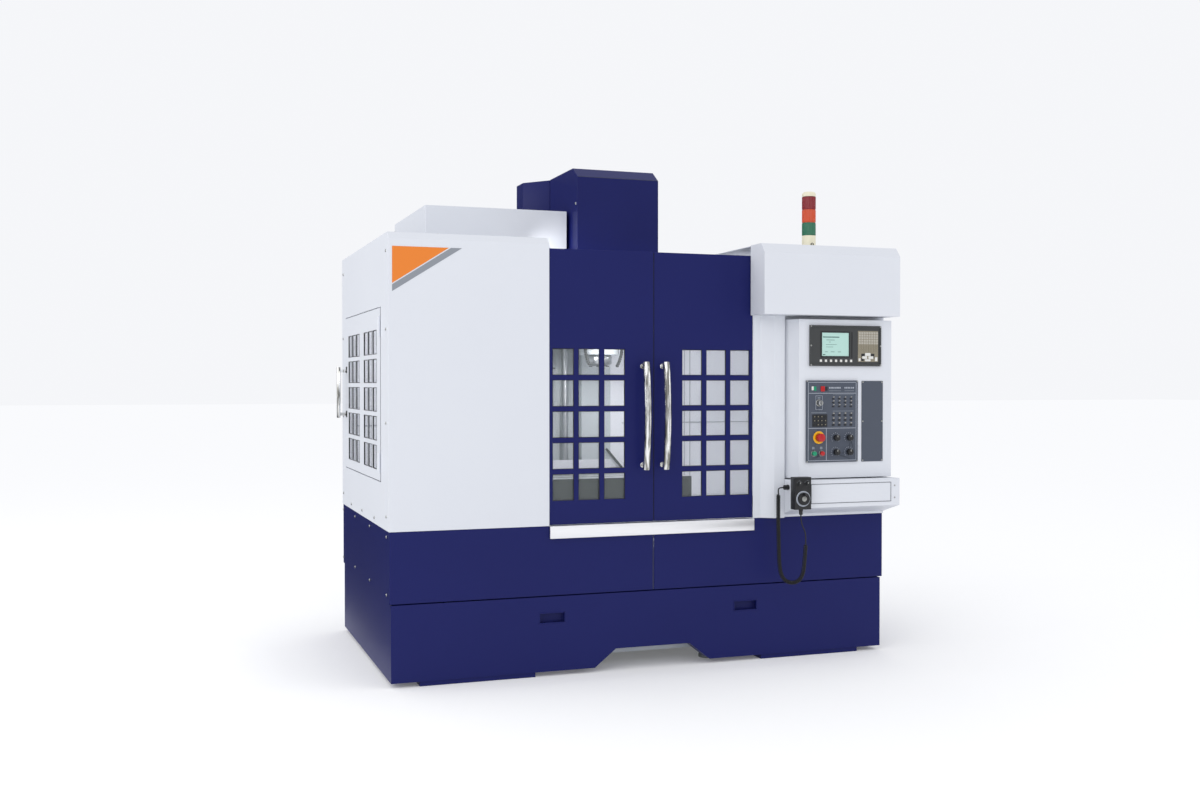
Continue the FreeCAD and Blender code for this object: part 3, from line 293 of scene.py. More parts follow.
CASTINGS = ("base_casting", "column", "saddle", "head", "magazine_bracket", "magazine_carriage")
coat(casting, *CASTINGS)
coat(table_iron_painted_shade, "table")
coat(iron, "levelling_feet")
coat(steel, "spindle", "y_screw", "z_screw", "magazine_disc", "key_switch")
coat(bright, "sill")
coat(stainless, "chip_pan")
coat(chrome, "left_handle", "right_handle", "side_handle")
soften(0.003, *CASTINGS, "table")
soften(0.0008, "left_handle", "right_handle", "side_handle", "sill", "spindle", "magazine_disc",
       "key_switch", "levelling_feet", round_faces=True)


# ---- Mouldings: plastics, rubber, glass ------------
# Buttons, knobs, pendant and lamp housing are injection moulded; the panes are clear
# safety glass; the cord and its fittings are soft black rubber.


def moulded(name, shade, rough, grain=0.0012, strength=0.12):
    """Moulded plastic: a fine spark-eroded grain as bump."""
    made, tree, bsdf = finish_of(name, **{"Base Color": linear(shade), "Roughness": rough, "IOR": 1.5})
    spark = add(tree, "ShaderNodeTexVoronoi", {"Vector": placed_by(tree), "Scale": 1 / grain})
    bumped(tree, bsdf, spark.outputs["Distance"], strength, 0.0003)
    return made


KNOB_NODES = [f"override_knob_{i}" for i in range(1, 5)]
black = moulded("black_nylon", "#16171a", 0.42)
red = moulded("red_plastic", "#b3191d", 0.3)
green = moulded("green_plastic", "#0f8f68", 0.3)
rubber = moulded("black_rubber", "#121214", 0.55)
cream = moulded("cream_plastic", "#e6e0c6", 0.35)
bezel = moulded("black_bezel", "#1d1f22", 0.38)
motor_paint = moulded("black_enamel", "#1a1b1d", 0.4)
coat(black, *KNOB_NODES, "pendant", "pendant_dial", "cord_gland")
coat(red, "emergency_stop", "hold_button")
coat(green, "start_button")
coat(cream, "tower_base", "tower_cap")
coat(motor_paint, "spindle_motor")
soften(0.0015, "pendant", "emergency_stop", "start_button", "hold_button", "tower_base", "tower_cap",
       *KNOB_NODES, round_faces=True)
soften(0.0015, "display_unit", "operator_panel", "spindle_motor")

glass, _, _ = finish_of("clear_safety_glass", **{
    "Base Color": linear("#dfe9ea"), "Roughness": 0.03, "IOR": 1.45, "Alpha": 0.07})
coat(glass, "left_window", "right_window", "side_window")


# ---- Joints, screws and the corner badge of the guards ------------
# The panels are bolted to folded flanges with zinc-plated button screws. A rubber strip
# seals the side door, and a printed vinyl triangle sits in the guard's upper corner.

BASE_X, BASE_Y = -1.2355, -0.843  # the machine's front left corner in the frame


def made_piece(name, points, faces, material, body, edge, angle=30):
    """A mesh from points in millimetres right of, behind and above the machine's front left floor
    corner, riding on a body. Corners sharper than the angle are rounded by edge millimetres."""
    mesh = bpy.data.meshes.new(name)
    placed = np.asarray(points, float).reshape(-1, 3) / 1000 + (BASE_X, BASE_Y, 0)
    mesh.from_pydata(placed.tolist(), [], faces)
    mesh.materials.append(material)
    piece = bpy.data.objects.new(name, mesh)
    bpy.context.scene.collection.objects.link(piece)
    if edge:
        bevel = piece.modifiers.new("edge", "BEVEL")
        bevel.limit_method, bevel.angle_limit = "ANGLE", math.radians(angle)
        bevel.width, bevel.segments = edge / 1000, 2
    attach(piece, body)
    return piece


def box_mesh(spans):
    """Corners and faces of boxes, each given by its low and high corner. Corner n of a box is low
    or high on each axis as the three binary digits of n say."""
    spans = np.asarray(spans, float)
    bits = np.array([(n & 1, n >> 1 & 1, n >> 2) for n in range(8)])
    points = spans[:, :1] + bits * (spans[:, 1:] - spans[:, :1])
    sides = np.array([(0, 2, 3, 1), (4, 5, 7, 6), (0, 1, 5, 4), (2, 6, 7, 3), (0, 4, 6, 2), (1, 3, 7, 5)])
    return points, (sides + 8 * np.arange(len(spans))[:, None, None]).reshape(-1, 4).tolist()


def boxes(name, spans, material, body="machine", edge=0.6):
    """Plates and bars with rounded edges, one for each (low corner, high corner) in millimetres."""
    return made_piece(name, *box_mesh(spans), material, body, edge, angle=35)


def border(low, high, bar, whole, fitted):
    """Spans of four bars, bar thick, round the rim of a flat box from its low to its high corner:
    two run the whole length of one axis, and two are fitted between them along the other."""
    spans = []
    for axis, other, inset in ((whole, fitted, 0), (fitted, whole, bar)):
        for start in (low[other], high[other] - bar):
            span = np.array((low, high), float)
            span[:, other] = start, start + bar
            span[:, axis] += inset, -inset
            spans.append(span)
    return spans


def on_face(marks, front, back):
    """Spans of flat marks, each (left, bottom, width, height), from a front to a back plane."""
    return [((left, front, low), (left + wide, back, low + tall)) for left, low, wide, tall in marks]


X, Y, Z = 0, 1, 2
AXES = {  # along, across and out
    "x": ((0, 1, 0), (0, 0, 1), (1, 0, 0)), "y": ((0, 0, 1), (1, 0, 0), (0, 1, 0)),
    "z": ((1, 0, 0), (0, 1, 0), (0, 0, 1)), "front": ((1, 0, 0), (0, 0, 1), (0, -1, 0)),
    "left": ((0, 0, 1), (0, 1, 0), (-1, 0, 0))}


def turned(name, profile, places, axis, material, body="machine", sides=24, smooth=35):
    """A profile of (radius, height) rows turned about an axis at each place, in millimetres:
    point = place + radius (cos t along + sin t across) + height out, with t round the circle."""
    along, across, out = np.array(AXES[axis], float)
    radius, height = np.array(profile, float).T
    turn = np.linspace(0, 2 * math.pi, sides, endpoint=False)
    ring = np.cos(turn)[:, None] * along + np.sin(turn)[:, None] * across
    shape = radius[:, None, None] * ring + height[:, None, None] * out
    points = np.asarray(places, float).reshape(-1, 1, 1, 3) + shape
    index = np.arange(len(radius) * sides).reshape(len(radius), sides)
    after = np.roll(index, -1, axis=1)
    quads = np.stack([index[:-1], after[:-1], after[1:], index[1:]], -1).reshape(-1, 4)
    faces = []
    for start in range(0, len(points) * index.size, index.size):
        faces += (quads + start).tolist() + [(index[0, ::-1] + start).tolist(),
                                             (index[-1] + start).tolist()]
    piece = made_piece(name, points, faces, material, body, 0)
    piece.data.shade_smooth()
    piece.data.set_sharp_from_angle(angle=math.radians(smooth))
    return piece


def slab(name, outline, low, high, axis, material, body="machine", edge=0.0):
    """A flat sheet: an outline of (along, across) points, pushed from low to high along an axis."""
    along, across, out = np.abs(np.array(AXES[axis], float))
    outline = np.array(outline, float)
    ends = [outline[:, :1] * along + outline[:, 1:] * across + level * out for level in (low, high)]
    here = np.arange(len(outline))
    after, above = np.roll(here, -1), len(outline)
    faces = [here[::-1].tolist(), (here + above).tolist()]
    faces += np.stack([here, after, after + above, here + above], -1).tolist()
    piece = made_piece(name, ends, faces, material, body, edge)
    work = bmesh.new()
    work.from_mesh(piece.data)
    bmesh.ops.recalc_face_normals(work, faces=work.faces)
    work.to_mesh(piece.data)
    work.free()
    return piece


def vinyl(name, shade):
    """Printed vinyl: an even colour with a very faint grain of the print."""
    made, tree, bsdf = finish_of(name, **{"Roughness": 0.3, "IOR": 1.48})
    darker = (*[channel * 0.93 for channel in linear(shade)[:3]], 1)
    tinted(tree, bsdf, noise(tree, placed_by(tree), 0.004, 1.0), linear(shade), darker)
    return made


seam = vinyl("joint_shadow", "#3b3f4c")
orange = vinyl("orange_vinyl", "#e67f22")
silver_grey = vinyl("grey_vinyl", "#8b9098")
slab("badge_orange", [(17, 1966), (17, 1802), (273, 1966)], -0.9, 0.2, "front", orange)
slab("badge_stripe", [(17, 1796), (17, 1766), (333, 1966), (283, 1966)], -0.9, 0.2, "front", silver_grey)
zinc = bare_metal("zinc_plated_screw", "#b3b4b1", 0.34, 0.004)
BUTTON_HEAD = [(7, 0), (7, 1.0), (6.2, 2.6), (4.2, 3.8), (2.4, 4.1), (2.2, 2.2)]
WIDE, ROOF = 2526, 2032  # the guard's right side and its roof
SIDE_ROWS = (60, 520, 980, 1390)
SCREWS = {
    "left_wall_screws": ([(0, y, z) for y in (60, 1380) for z in (760, 1180, 1600, 1950)]
                         + [(0, y, 725) for y in (380, 745, 1100)], "left"),
    "right_wall_screws": ([(WIDE, y, z) for y in (60, 700, 1380) for z in (760, 1180, 1600, 1900)], "x"),
    "roof_screws": ([(x, y, ROOF) for x in (40, 235) for y in (60, 560, 1390)]
                    + [(x, y, ROOF) for x in (1850, 2150, 2490) for y in (110, 640, 1390)], "z"),
    "base_screws": ([(0, y, z) for z in (410, 670) for y in SIDE_ROWS], "left"),
    "base_screws_right": ([(WIDE, y, z) for y in SIDE_ROWS for z in (410, 670)], "x"),
}
for name, (places, axis) in SCREWS.items():
    turned(name, BUTTON_HEAD, places, axis, zinc, sides=12)


# ---- The sliding doors: panes, gaskets and bowed grips ------------
# Each door is a folded leaf with fifteen panes, held in black rubber gaskets behind the bars.
# It hangs in the header and slides on the sill, and has a bowed grip of chromed tube.

gasket = vinyl("black_gasket", "#17181c")
ROW_Z, ROW_STEP, PANE_TALL, PANE_STEP, PANE_WIDE = 812, 146, 124, 127, 105
GRIP_FOOT = [(12, -0.2), (12, 2.6), (11.2, 3.6), (9.1, 4.4)]
for side, grip in (("left", 1209.5), ("right", 1310.5)):
    body = f"{side}_slide_door"
    door_left, door_right = (corner[0] * 1000 - BASE_X * 1000 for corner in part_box(f"{side}_door"))
    inner = door_right if side == "left" else door_left
    boxes(f"{side}_door_edge", [((inner - 1.4, 8, 706), (inner + 1.4, 30, 1976))], gasket, body=body,
          edge=0.5)
    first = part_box(f"{side}_window")[0][0] * 1000 - BASE_X * 1000 + 10
    rims = []
    for i in range(3):
        for j in range(5):
            x, z = first + i * PANE_STEP, ROW_Z + j * ROW_STEP
            rims += border((x - 0.5, 9.5, z - 0.5), (x + PANE_WIDE + 0.5, 14.5, z + PANE_TALL + 0.5),
                           3.5, Z, X)
    boxes(f"{side}_door_gaskets", rims, gasket, body=body, edge=0.4)
    turned(f"{side}_grip_collars", GRIP_FOOT, [(grip, 6, 970), (grip, 6, 1439)], "front", chrome, body=body,
           sides=28)


# ---- The service door in the left wall ------------
# A folded leaf that swings out, with thirty panes in gaskets. A rubber strip seals it all
# round, and its grip is a bent rod on two nylon plates.

boxes("side_seals", [((-0.6, 202, 905), (0.6, 205, 1709)), ((-0.6, 1285, 905), (0.6, 1288, 1709)),
                     ((-0.6, 205, 1704), (0.6, 1285, 1707)), ((-0.6, 205, 907), (0.6, 1285, 910))], seam,
      edge=0.3)
rims = []
for start in (300, 808):
    for i in range(3):
        for j in range(5):
            y, z = start + i * 130, 958 + j * 134
            rims += border((-3, y - 0.5, z - 0.5), (3, y + 108.5, z + 112.5), 3, Z, Y)
boxes("side_door_gaskets", rims, gasket, body="service_door", edge=0.4)
black_nylon_plate = moulded("black_nylon_plate", "#1c1d20", 0.4)
boxes("side_grip_plates", [((-5, 1233, z), (-1.5, 1265, z + 34)) for z in (1177, 1413)], black_nylon_plate,
      body="service_door", edge=1.4)
boxes("side_grip_sleeves", [((-51, 1243, z), (-39, 1255, z + 22)) for z in (1180, 1420)], black_nylon_plate,
      body="service_door", edge=1.0)


# ---- Inside: way covers, wall lining and the spindle's face ------------
# Nested stainless leaves guard the ways behind the saddle and slide into each other as it
# comes back. The walls are lined with enamelled sheet, screwed on, with folded seams.

lining = enamel("lining_enamel", "#e2e3ea", 0.4)
coat(lining, "rear_guard")
black_oxide = bare_metal("black_oxide_steel", "#3a3b3e", 0.4, 0.003)
seam_grey = enamel("seam_enamel", "#a9acb4", 0.45)
slab("splash_rail", [(1487, 976), (1607, 838), (1616, 846), (1496, 984)], 1290, 1304, "front", black_oxide,
     edge=0.6)
leaves = [((925 - 6 * i, 1299 + 5 * i, 604), (1601 + 6 * i, 1302 + 5 * i, 650 + 16 * i)) for i in range(5)]
boxes("rear_way_cover", leaves, stainless, edge=0.4)
boxes("wall_seams", [((x, 1322, 700), (x + 4, 1327.5, 1960)) for x in (560, 905, 1640, 1960, 1994, 2030)]
      + [((60, 1322, 1125), (930, 1327.5, 1130)), ((1600, 1322, 1125), (2466, 1327.5, 1130))], seam_grey,
      edge=0.8)
turned("wall_screws", BUTTON_HEAD, [(x, 1327, z) for x in (545, 580, 890, 1655, 1970)
                                    for z in (780, 1120, 1460, 1800)], "front", zinc, sides=10)
SPINDLE_X, SPINDLE_Y = 1263, 775
nose = [(SPINDLE_X + 52 * math.cos(t), SPINDLE_Y + 52 * math.sin(t), 1450)
        for t in np.radians(range(0, 360, 60))]
turned("nose_screws", [(5, -4), (5, 0), (4, 1), (2, 1)], nose, "z", black_oxide, body="spindle_rotor",
       sides=12)


# ---- The spindle head's tall cover ------------
# A folded navy sheet cover over the head, held by screws along both flanks. Its lid is a
# second sheet, which meets the front at a fine seam.

for side, x, axis in (("left", 1043, "left"), ("right", 1483, "x")):
    turned(f"cover_screws_{side}", BUTTON_HEAD, [(x, y, z) for y in (505, 920) for z in (1700, 1990, 2270)],
           axis, zinc, body="head_slide", sides=12)
slab("cover_lid_seam", [(1046, 2402), (1480, 2402), (1480, 2404), (1046, 2404)], 479.2, 480.8, "front",
     seam, body="head_slide")


# ---- The signal tower ------------
# Three ribbed acrylic lenses, red over amber over green, on a cream housing and under a
# cream cap. Each lens is moulded with upright flutes that spread its lamp's light.

TOWER = (2261, 300)  # its axis


def lens(name, shade, node):
    """A fluted drum over a CAD lens: radius = 35.2 + 0.8 cos(30 t), stepped in at both ends."""
    low, high = (float(corner[2]) * 1000 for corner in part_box(node))
    made, tree, bsdf = finish_of(name, **{"Base Color": linear(shade), "Roughness": 0.16, "IOR": 1.49,
                                          "Transmission Weight": 0.25})
    haze = noise(tree, placed_by(tree), 0.03, 2.0)
    shine = add(tree, "ShaderNodeMapRange", {"Value": haze, "To Min": 0.12, "To Max": 0.24})
    tree.links.new(shine.outputs["Result"], bsdf.inputs["Roughness"])
    turn = np.linspace(0, 2 * math.pi, 180, endpoint=False)
    flute = 35.2 + 0.8 * np.cos(30 * turn)
    levels = [(low, 0.94), (low + 2, 0.94), (low + 3, 1.0), (high - 3, 1.0), (high - 2, 0.94), (high, 0.94)]
    rows = [np.stack([TOWER[0] + flute * share * np.cos(turn), TOWER[1] + flute * share * np.sin(turn),
                      np.full(turn.shape, level)], -1) for level, share in levels]
    grid = np.array(rows) / 1000 + (BASE_X, BASE_Y, 0)
    drum = surface(name, grid, closed=True, material=made)
    drum.data.shade_smooth()
    drum.data.set_sharp_from_angle(angle=math.radians(45))
    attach(drum, "machine")
    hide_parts(node)


lens("green_drum", "#2f7a5c", "green_lens")
lens("amber_drum", "#e0552c", "amber_lens")
lens("red_drum", "#8f1a26", "red_lens")
turned("tower_eye", [(9, 0), (9, 1.2), (7.4, 1.6), (7.2, 0.3)], [(TOWER[0], 264.4, 2082)], "front", black)
turned("tower_flange", [(46, 0), (46, 3), (44.5, 4.5), (36.3, 5)], [(*TOWER, ROOF)], "z", cream, sides=48)


# ---- Tool holders and grippers of the magazine ------------
# Sprung steel fingers, two at each pocket, clamp a tool holder by the groove of its flange.
# The holders are ground, case-hardened tapers with a collet nut and a short cutter.

DISC_X, DISC_Y, POCKET_CIRCLE, POCKETS = 703, 775, 270, 16
turns = np.radians(np.arange(POCKETS) * 360 / POCKETS)
hub = np.array((DISC_X, DISC_Y, 0))
corners, sides = box_mesh([((238, side * 28 - 5, 1432.3), (300, side * 28 + 5, 1440)) for side in (-1, 1)])
corners = corners.reshape(-1, 3)
pockets = [corners @ np.array(((math.cos(t), math.sin(t), 0), (-math.sin(t), math.cos(t), 0), (0, 0, 1)))
           + hub for t in turns]
faces = (np.array(sides) + len(corners) * np.arange(POCKETS)[:, None, None]).reshape(-1, 4).tolist()
made_piece("pocket_fingers", pockets, faces, black_oxide, "carousel", 1.2)
HOLDER = [(3, 1366), (3.6, 1367), (4, 1386), (13, 1387), (17, 1389), (18, 1391), (18, 1400), (19, 1401),
          (23, 1402), (23.4, 1403), (23.4, 1410), (20, 1413), (20, 1418), (23.4, 1421), (23.4, 1430),
          (22, 1431), (22, 1434), (12.5, 1488), (11, 1490), (5.5, 1490), (5.5, 1496), (8, 1499), (8, 1505),
          (6, 1507)]
FILLED = (2, 3, 5, 6, 7, 9, 10, 11, 13, 14)
held = [hub + (POCKET_CIRCLE * math.cos(turns[i]), POCKET_CIRCLE * math.sin(turns[i]), 0) for i in FILLED]
turned("tool_holders", HOLDER, held, "z", steel, body="carousel", sides=28)
turned("disc_bolts", [(6.5, 0), (6.5, 5), (5.5, 6.5), (3.4, 6.5), (3.2, 3)],
       [hub + (66 * math.cos(a), 66 * math.sin(a), 1432) for a in turns[::2]], "z", black_oxide,
       body="carousel", sides=12)


# ---- Coolant nozzles and the spindle's fittings ------------
# Jointed acetal links snap together into two bendable nozzles beside the spindle nose, screwed
# into a brass elbow under the head. Each link is a cup that swivels on the ball of the last.

brass = bare_metal("turned_brass", "#c79a4b", 0.3, 0.003)
LINK, LINK_STEP = [(5.4, 0), (8.2, 2), (8.8, 6), (8.8, 10), (6.4, 13), (5.2, 15.5)], 13


def nozzle(name, start, lean, count, body="head_slide"):
    """Links in a gentle arc towards the spindle: each link is a step further, and the lean of
    the steps grows from 0 at the first to nearly the whole lean at the last."""
    angle = np.radians(lean * np.arange(count) / count)
    drift = np.cumsum(LINK_STEP * np.sin(angle)) * np.sign(SPINDLE_X - start[0])
    places = np.stack([start[0] + drift, np.full(count, start[1]),
                       start[2] - np.cumsum(LINK_STEP * np.cos(angle))], -1)
    return turned(name, LINK, places, "z", black, body=body, sides=16)


LEFT_ELBOW, RIGHT_ELBOW = (1160, 700, 1556), (1366, 700, 1556)
nozzle("coolant_nozzle_left", LEFT_ELBOW, 26, 8)
nozzle("coolant_nozzle_right", RIGHT_ELBOW, 30, 9)
turned("nozzle_elbows", [(10, -18), (10, -6), (12, -4), (12, 6), (9, 8), (9, 14)],
       [LEFT_ELBOW, RIGHT_ELBOW], "z", brass, body="head_slide", sides=6, smooth=10)


# ---- The display and keypad unit ------------
# A black moulded bezel set into the control box, with a pale liquid-crystal screen behind
# glass, seven soft keys under it and a rubber keypad with an arrow cross beside it.

SKIN = -104.0  # the front face of the display unit and of the operator panel, mm
KEY_BACK, PRINT_BACK = -103.5, -103.6  # keys and printed marks start a little under that face
screen_face = moulded("liquid_crystal", "#b9dcd3", 0.12, strength=0.0)
screen_ink = moulded("dark_crystal", "#4a6a68", 0.2, strength=0.0)
key_tan = moulded("tan_rubber_keys", "#b3aea3", 0.5)
key_brown = moulded("brown_rubber_keys", "#8d8674", 0.5)
key_pale = moulded("pale_rubber_keys", "#dcdcd8", 0.45)
charcoal = moulded("charcoal_bezel", "#3a3c3d", 0.42)
coat(charcoal, "display_unit")


def grid_of(left, bottom, columns, rows, step, size, rise, skip=()):
    """Spans of a key grid: key (i, j) starts at left + i step, bottom + j step and stands rise proud."""
    i, j = np.meshgrid(np.arange(columns), np.arange(rows))
    keep = np.array([(a, b) not in skip for a, b in zip(i.ravel(), j.ravel())])
    low = np.stack([left + i * step[0], np.full(i.shape, SKIN - rise), bottom + j * step[1]],
                   -1).reshape(-1, 3)
    return np.stack([low, low + (size[0], rise + 1.0, size[1])], axis=1)[keep]


boxes("bezel_rim", border((2045, -108, 1443), (2445, -103, 1643), 10, X, Z), charcoal, edge=1.5)
boxes("screen_frame", border((2105, -107, 1486), (2267, -103, 1613), 6, X, Z), bezel, edge=1.2)
boxes("screen", [((2110, -104.6, 1491), (2262, -103, 1608))], screen_face, edge=0.2)
ROWS = [(2116, 1583, 92, 4.5), (2116, 1497, 14, 4), (2136, 1570, 46, 2), (2150, 1560, 10, 2),
        (2128, 1512, 16, 2), (2160, 1512, 22, 2), (2200, 1512, 18, 2), (2134, 1548, 60, 1.5),
        (2134, 1536, 40, 1.5)]
boxes("screen_rows", on_face(ROWS, -104.9, -104.4), screen_ink, edge=0.0)
boxes("soft_keys", grid_of(2099, 1463, 7, 1, (28.2, 12), (12, 12), 2.4), key_pale, edge=1.0)
boxes("card_slot", [((2277, -105.2, 1482), (2282, KEY_BACK, 1612))], bezel, edge=0.4)
boxes("keypad_plate", [((2313, -105.4, 1465), (2428, -103.4, 1618))], key_brown, edge=1.0)
boxes("letter_keys", grid_of(2316.5, 1552, 8, 5, (14, 12.6), (11.4, 10.2), 3.2), key_tan, edge=0.8)
boxes("edit_keys", grid_of(2316.5, 1514, 8, 3, (14, 12.4), (11.4, 9.8), 3.2), key_brown, edge=0.8)
boxes("dark_keys", [((2332, -107.4, 1490), (2351, KEY_BACK, 1505)),
                    ((2386, -107.4, 1482), (2405, KEY_BACK, 1505)),
                    ((2332, -107.4, 1469), (2346, KEY_BACK, 1484))], bezel, edge=0.8)
boxes("arrow_keys", [((2352, -108.2, 1494), (2384, KEY_BACK, 1509)),
                     ((2352, -108.2, 1467), (2384, KEY_BACK, 1478)),
                     ((2336, -108.2, 1479), (2364, KEY_BACK, 1493)),
                     ((2372, -108.2, 1479), (2400, KEY_BACK, 1493)),
                     ((2409, -108.2, 1468), (2423, KEY_BACK, 1488)),
                     ((2316, -108.2, 1468), (2327, KEY_BACK, 1482))], key_pale, edge=2.0)
screw_metal = bare_metal("zinc_plated_steel", "#a8a9a6", 0.34, 0.004)
PAN_HEAD = [(4.4, 0), (4.4, 0.8), (3.6, 2.0), (2.0, 2.7), (1.0, 2.8), (0.9, 1.9)]
turned("bezel_screws", PAN_HEAD, [(x, -107.9, z) for x in (2050, 2440) for z in (1448, 1543, 1638)],
       "front", screw_metal, sides=12)


# ---- The operator panel ------------
# A slate membrane glued on a steel plate, with a printed frame of silver lines. It has lamps
# and a lock on top, two key fields, the emergency stop and four override knobs with scales.

silver_ink = moulded("silver_ink", "#aab0bb", 0.35, strength=0.0)
field_dark = moulded("dark_membrane", "#20232a", 0.45)
yellow = moulded("yellow_plate", "#f0b312", 0.35)
key_grey = moulded("grey_key", "#7d8590", 0.45)
slate = moulded("slate_membrane_blue", "#474e5c", 0.48)
coat(slate, "operator_panel")
LINE = 2.6
STOP_X, STOP_Z = 2095, 1092  # the emergency stop, with the lock above it
LINES = [(2035, 1362, 270, LINE), (2035, 977, 270, LINE), (2035, 977, LINE, 387), (2302.6, 977, LINE, 387),
         (2035, 1308, 270, LINE), (2035, 1136, 270, LINE), (2135.5, 979, LINE, 158)]
boxes("panel_lines", on_face(LINES, -104.6, PRINT_BACK), silver_ink, edge=0.2)
boxes("panel_rim", [((2026, -106, 1366), (2313, -103, 1372)), ((2026, -106, 970), (2313, -103, 975)),
                    ((2026, -106, 975), (2031, -103, 1366)), ((2308, -106, 975), (2313, -103, 1366))],
      slate, edge=1.2)
boxes("green_lamp", [((2066, -107.5, 1322), (2080, KEY_BACK, 1343))], green, edge=1.5)
boxes("white_lamp", [((2054, -107.5, 1324), (2065, KEY_BACK, 1343))], key_pale, edge=1.5)
boxes("red_lamp", [((2104, -108.5, 1318), (2127, KEY_BACK, 1344))], red, edge=2.5)
boxes("dark_lamp", [((2131, -107, 1322), (2143, KEY_BACK, 1342))], field_dark, edge=1.5)
HEADER_KEYS = (2152, 2160, 2168, 2176, 2186, 2194, 2202, 2210, 2238, 2247, 2256, 2265, 2276, 2285)
boxes("header_keys", on_face([(x, 1332, 5.5, 8) for x in HEADER_KEYS], -105.4, PRINT_BACK), silver_ink,
      edge=0.4)
boxes("header_bars", on_face([(2152, 1320, 66, 2.5), (2238, 1320, 54, 2.5)], -104.7, PRINT_BACK), key_grey,
      edge=0.0)
LOCK_BOX = [(2077, 1296, 38, 1.6), (2077, 1228, 38, 1.6), (2077, 1228, 1.6, 69), (2113.4, 1228, 1.6, 69)]
boxes("lock_box", on_face(LOCK_BOX, -104.7, PRINT_BACK), silver_ink, edge=0.0)
boxes("lock_mark", on_face([(2088, 1283, 15, 7)], -104.9, PRINT_BACK), key_grey, edge=0.3)
turned("lock_collar", [(17, 0), (17, 1.5), (15.5, 2.6), (13.2, 2.6), (13, 0.5)], [(STOP_X, SKIN, 1262)],
       "front", screw_metal, sides=32)
boxes("field_keys", grid_of(2168, 1240, 4, 3, (33, 19), (13, 8), 1.4), field_dark, edge=0.8)
boxes("field_marks", grid_of(2175, 1251, 4, 3, (33, 19), (7, 3.4), 0.8), key_tan, edge=0.2)
boxes("jog_keys", grid_of(2168, 1148, 4, 3, (33, 24), (15, 10), 1.4), field_dark, edge=0.8)
boxes("jog_marks", grid_of(2174, 1161, 4, 3, (33, 24), (8, 4), 0.8), key_tan, edge=0.2)
boxes("pad_field", on_face([(2058, 1144, 84, 62)], -105, PRINT_BACK), field_dark, edge=1.0)
boxes("pad_keys", grid_of(2062, 1147, 4, 3, (20, 19.5), (16, 15.5), 3.0), bezel, edge=1.2)
boxes("pad_marks", grid_of(2068, 1153, 4, 3, (20, 19.5), (5, 4.5), 3.4, skip=((0, 0), (3, 2))), key_brown,
      edge=0.2)
TITLES = [(2052, 1212, 84, 3), (2172, 1220, 118, 2.5), (2172, 1302, 118, 1.5)]
boxes("pad_title", on_face(TITLES, -104.7, PRINT_BACK), key_grey, edge=0.0)
turned("stop_plate", [(31, 0), (31, 1.6), (30, 2.4), (21, 2.8), (20.6, 0.5)], [(STOP_X, SKIN, STOP_Z)],
       "front", yellow, sides=48)
turned("stop_arrows", [(16.5, 0), (16.5, 0.9), (12.5, 1.2), (12.2, 0.2)], [(STOP_X, -128.2, STOP_Z)],
       "front", key_pale, body="stop_head", sides=36)
boxes("button_marks", on_face([(2057, 1034, 14, 13), (2101, 1034, 14, 13)], -105, PRINT_BACK), key_grey,
      edge=0.4)
turned("button_rings", [(15, 0), (15, 2.4), (13.8, 3.4), (11.8, 3.4), (11.7, 0.4)],
       [(2066, SKIN, 1014), (2110, SKIN, 1014)], "front", screw_metal, sides=32)
KNOBS = [(2188, 1090), (2262, 1090), (2188, 1019), (2262, 1019)]
ticks = []
for x, z in KNOBS:
    for angle in np.radians(np.linspace(-40, 220, 11)):
        u, w = x + 24 * math.cos(angle), z + 24 * math.sin(angle)
        ticks.append(((u - 1.5, -104.7, w - 1.5), (u + 1.5, PRINT_BACK, w + 1.5)))
boxes("knob_scales", ticks, silver_ink, edge=0.0)
turned("knob_discs", [(20.5, 0), (20.5, 0.8), (19.5, 1.2), (3, 1.2)],
       [(x, SKIN + 0.2, z) for x, z in KNOBS], "front", slate, sides=36)
for number, (x, z) in enumerate(KNOBS, start=1):
    boxes(f"knob_grip_{number}", [((x - 3.2, -128, z - 13), (x + 3.2, -120, z + 13))], black,
          body=f"knob_{number}", edge=1.6)
    boxes(f"knob_mark_{number}", [((x - 0.9, -128.4, z + 3), (x + 0.9, -127.6, z + 12.4))], key_pale,
          body=f"knob_{number}", edge=0.2)
boxes("key_bow", [((STOP_X - 2.4, -140, 1252), (STOP_X + 2.4, -119, 1272))], screw_metal, body="key_barrel",
      edge=1.8)
boxes("blank_plate", [((2339, -99, 969), (2460, -95.6, 1370))], slate, edge=0.8)
turned("plate_screws", PAN_HEAD, [(x, -98.8, z) for x in (2345, 2454) for z in (975, 1169, 1364)]
       + [(x, -105.8, z) for x in (2030, 2309) for z in (974, 1368)], "front", screw_metal, sides=12)


# ---- The shelf under the control box and the handwheel pendant ------------
# A folded tray with a recessed front. The pendant is a black moulded shell that hangs on it,
# with two selectors, an engraved dial ring and a crank on the handwheel.

RECESS = [(2027, 866, 449, 2.2), (2027, 772, 449, 2.2), (2027, 772, 2.2, 96), (2474, 772, 2.2, 96)]
boxes("shelf_recess", on_face(RECESS, -151.4, -149.6), seam, edge=0.3)
boxes("shelf_strip", [((2031, -150.9, 776), (2472, -149.4, 864))], white, edge=0.8)
turned("shelf_screws", PAN_HEAD, [(2497, -149.6, z) for z in (790, 850)], "front", screw_metal, sides=12)
boxes("shelf_front_lip", [((1960, -152, 882), (2520, -147, 887.5))], white, edge=1.6)
PENDANT_FACE = -202
DIAL_X, DIAL_Z = 1956, 804
SELECTOR_X, SELECTOR_Z = (1935, 1977), 876
turned("dial_scale", [(37.5, 0), (37.5, 1.0), (36.5, 1.6), (30.8, 1.6), (30.6, 0.2)],
       [(DIAL_X, PENDANT_FACE, DIAL_Z)], "front", silver_ink, sides=60)
marks = []
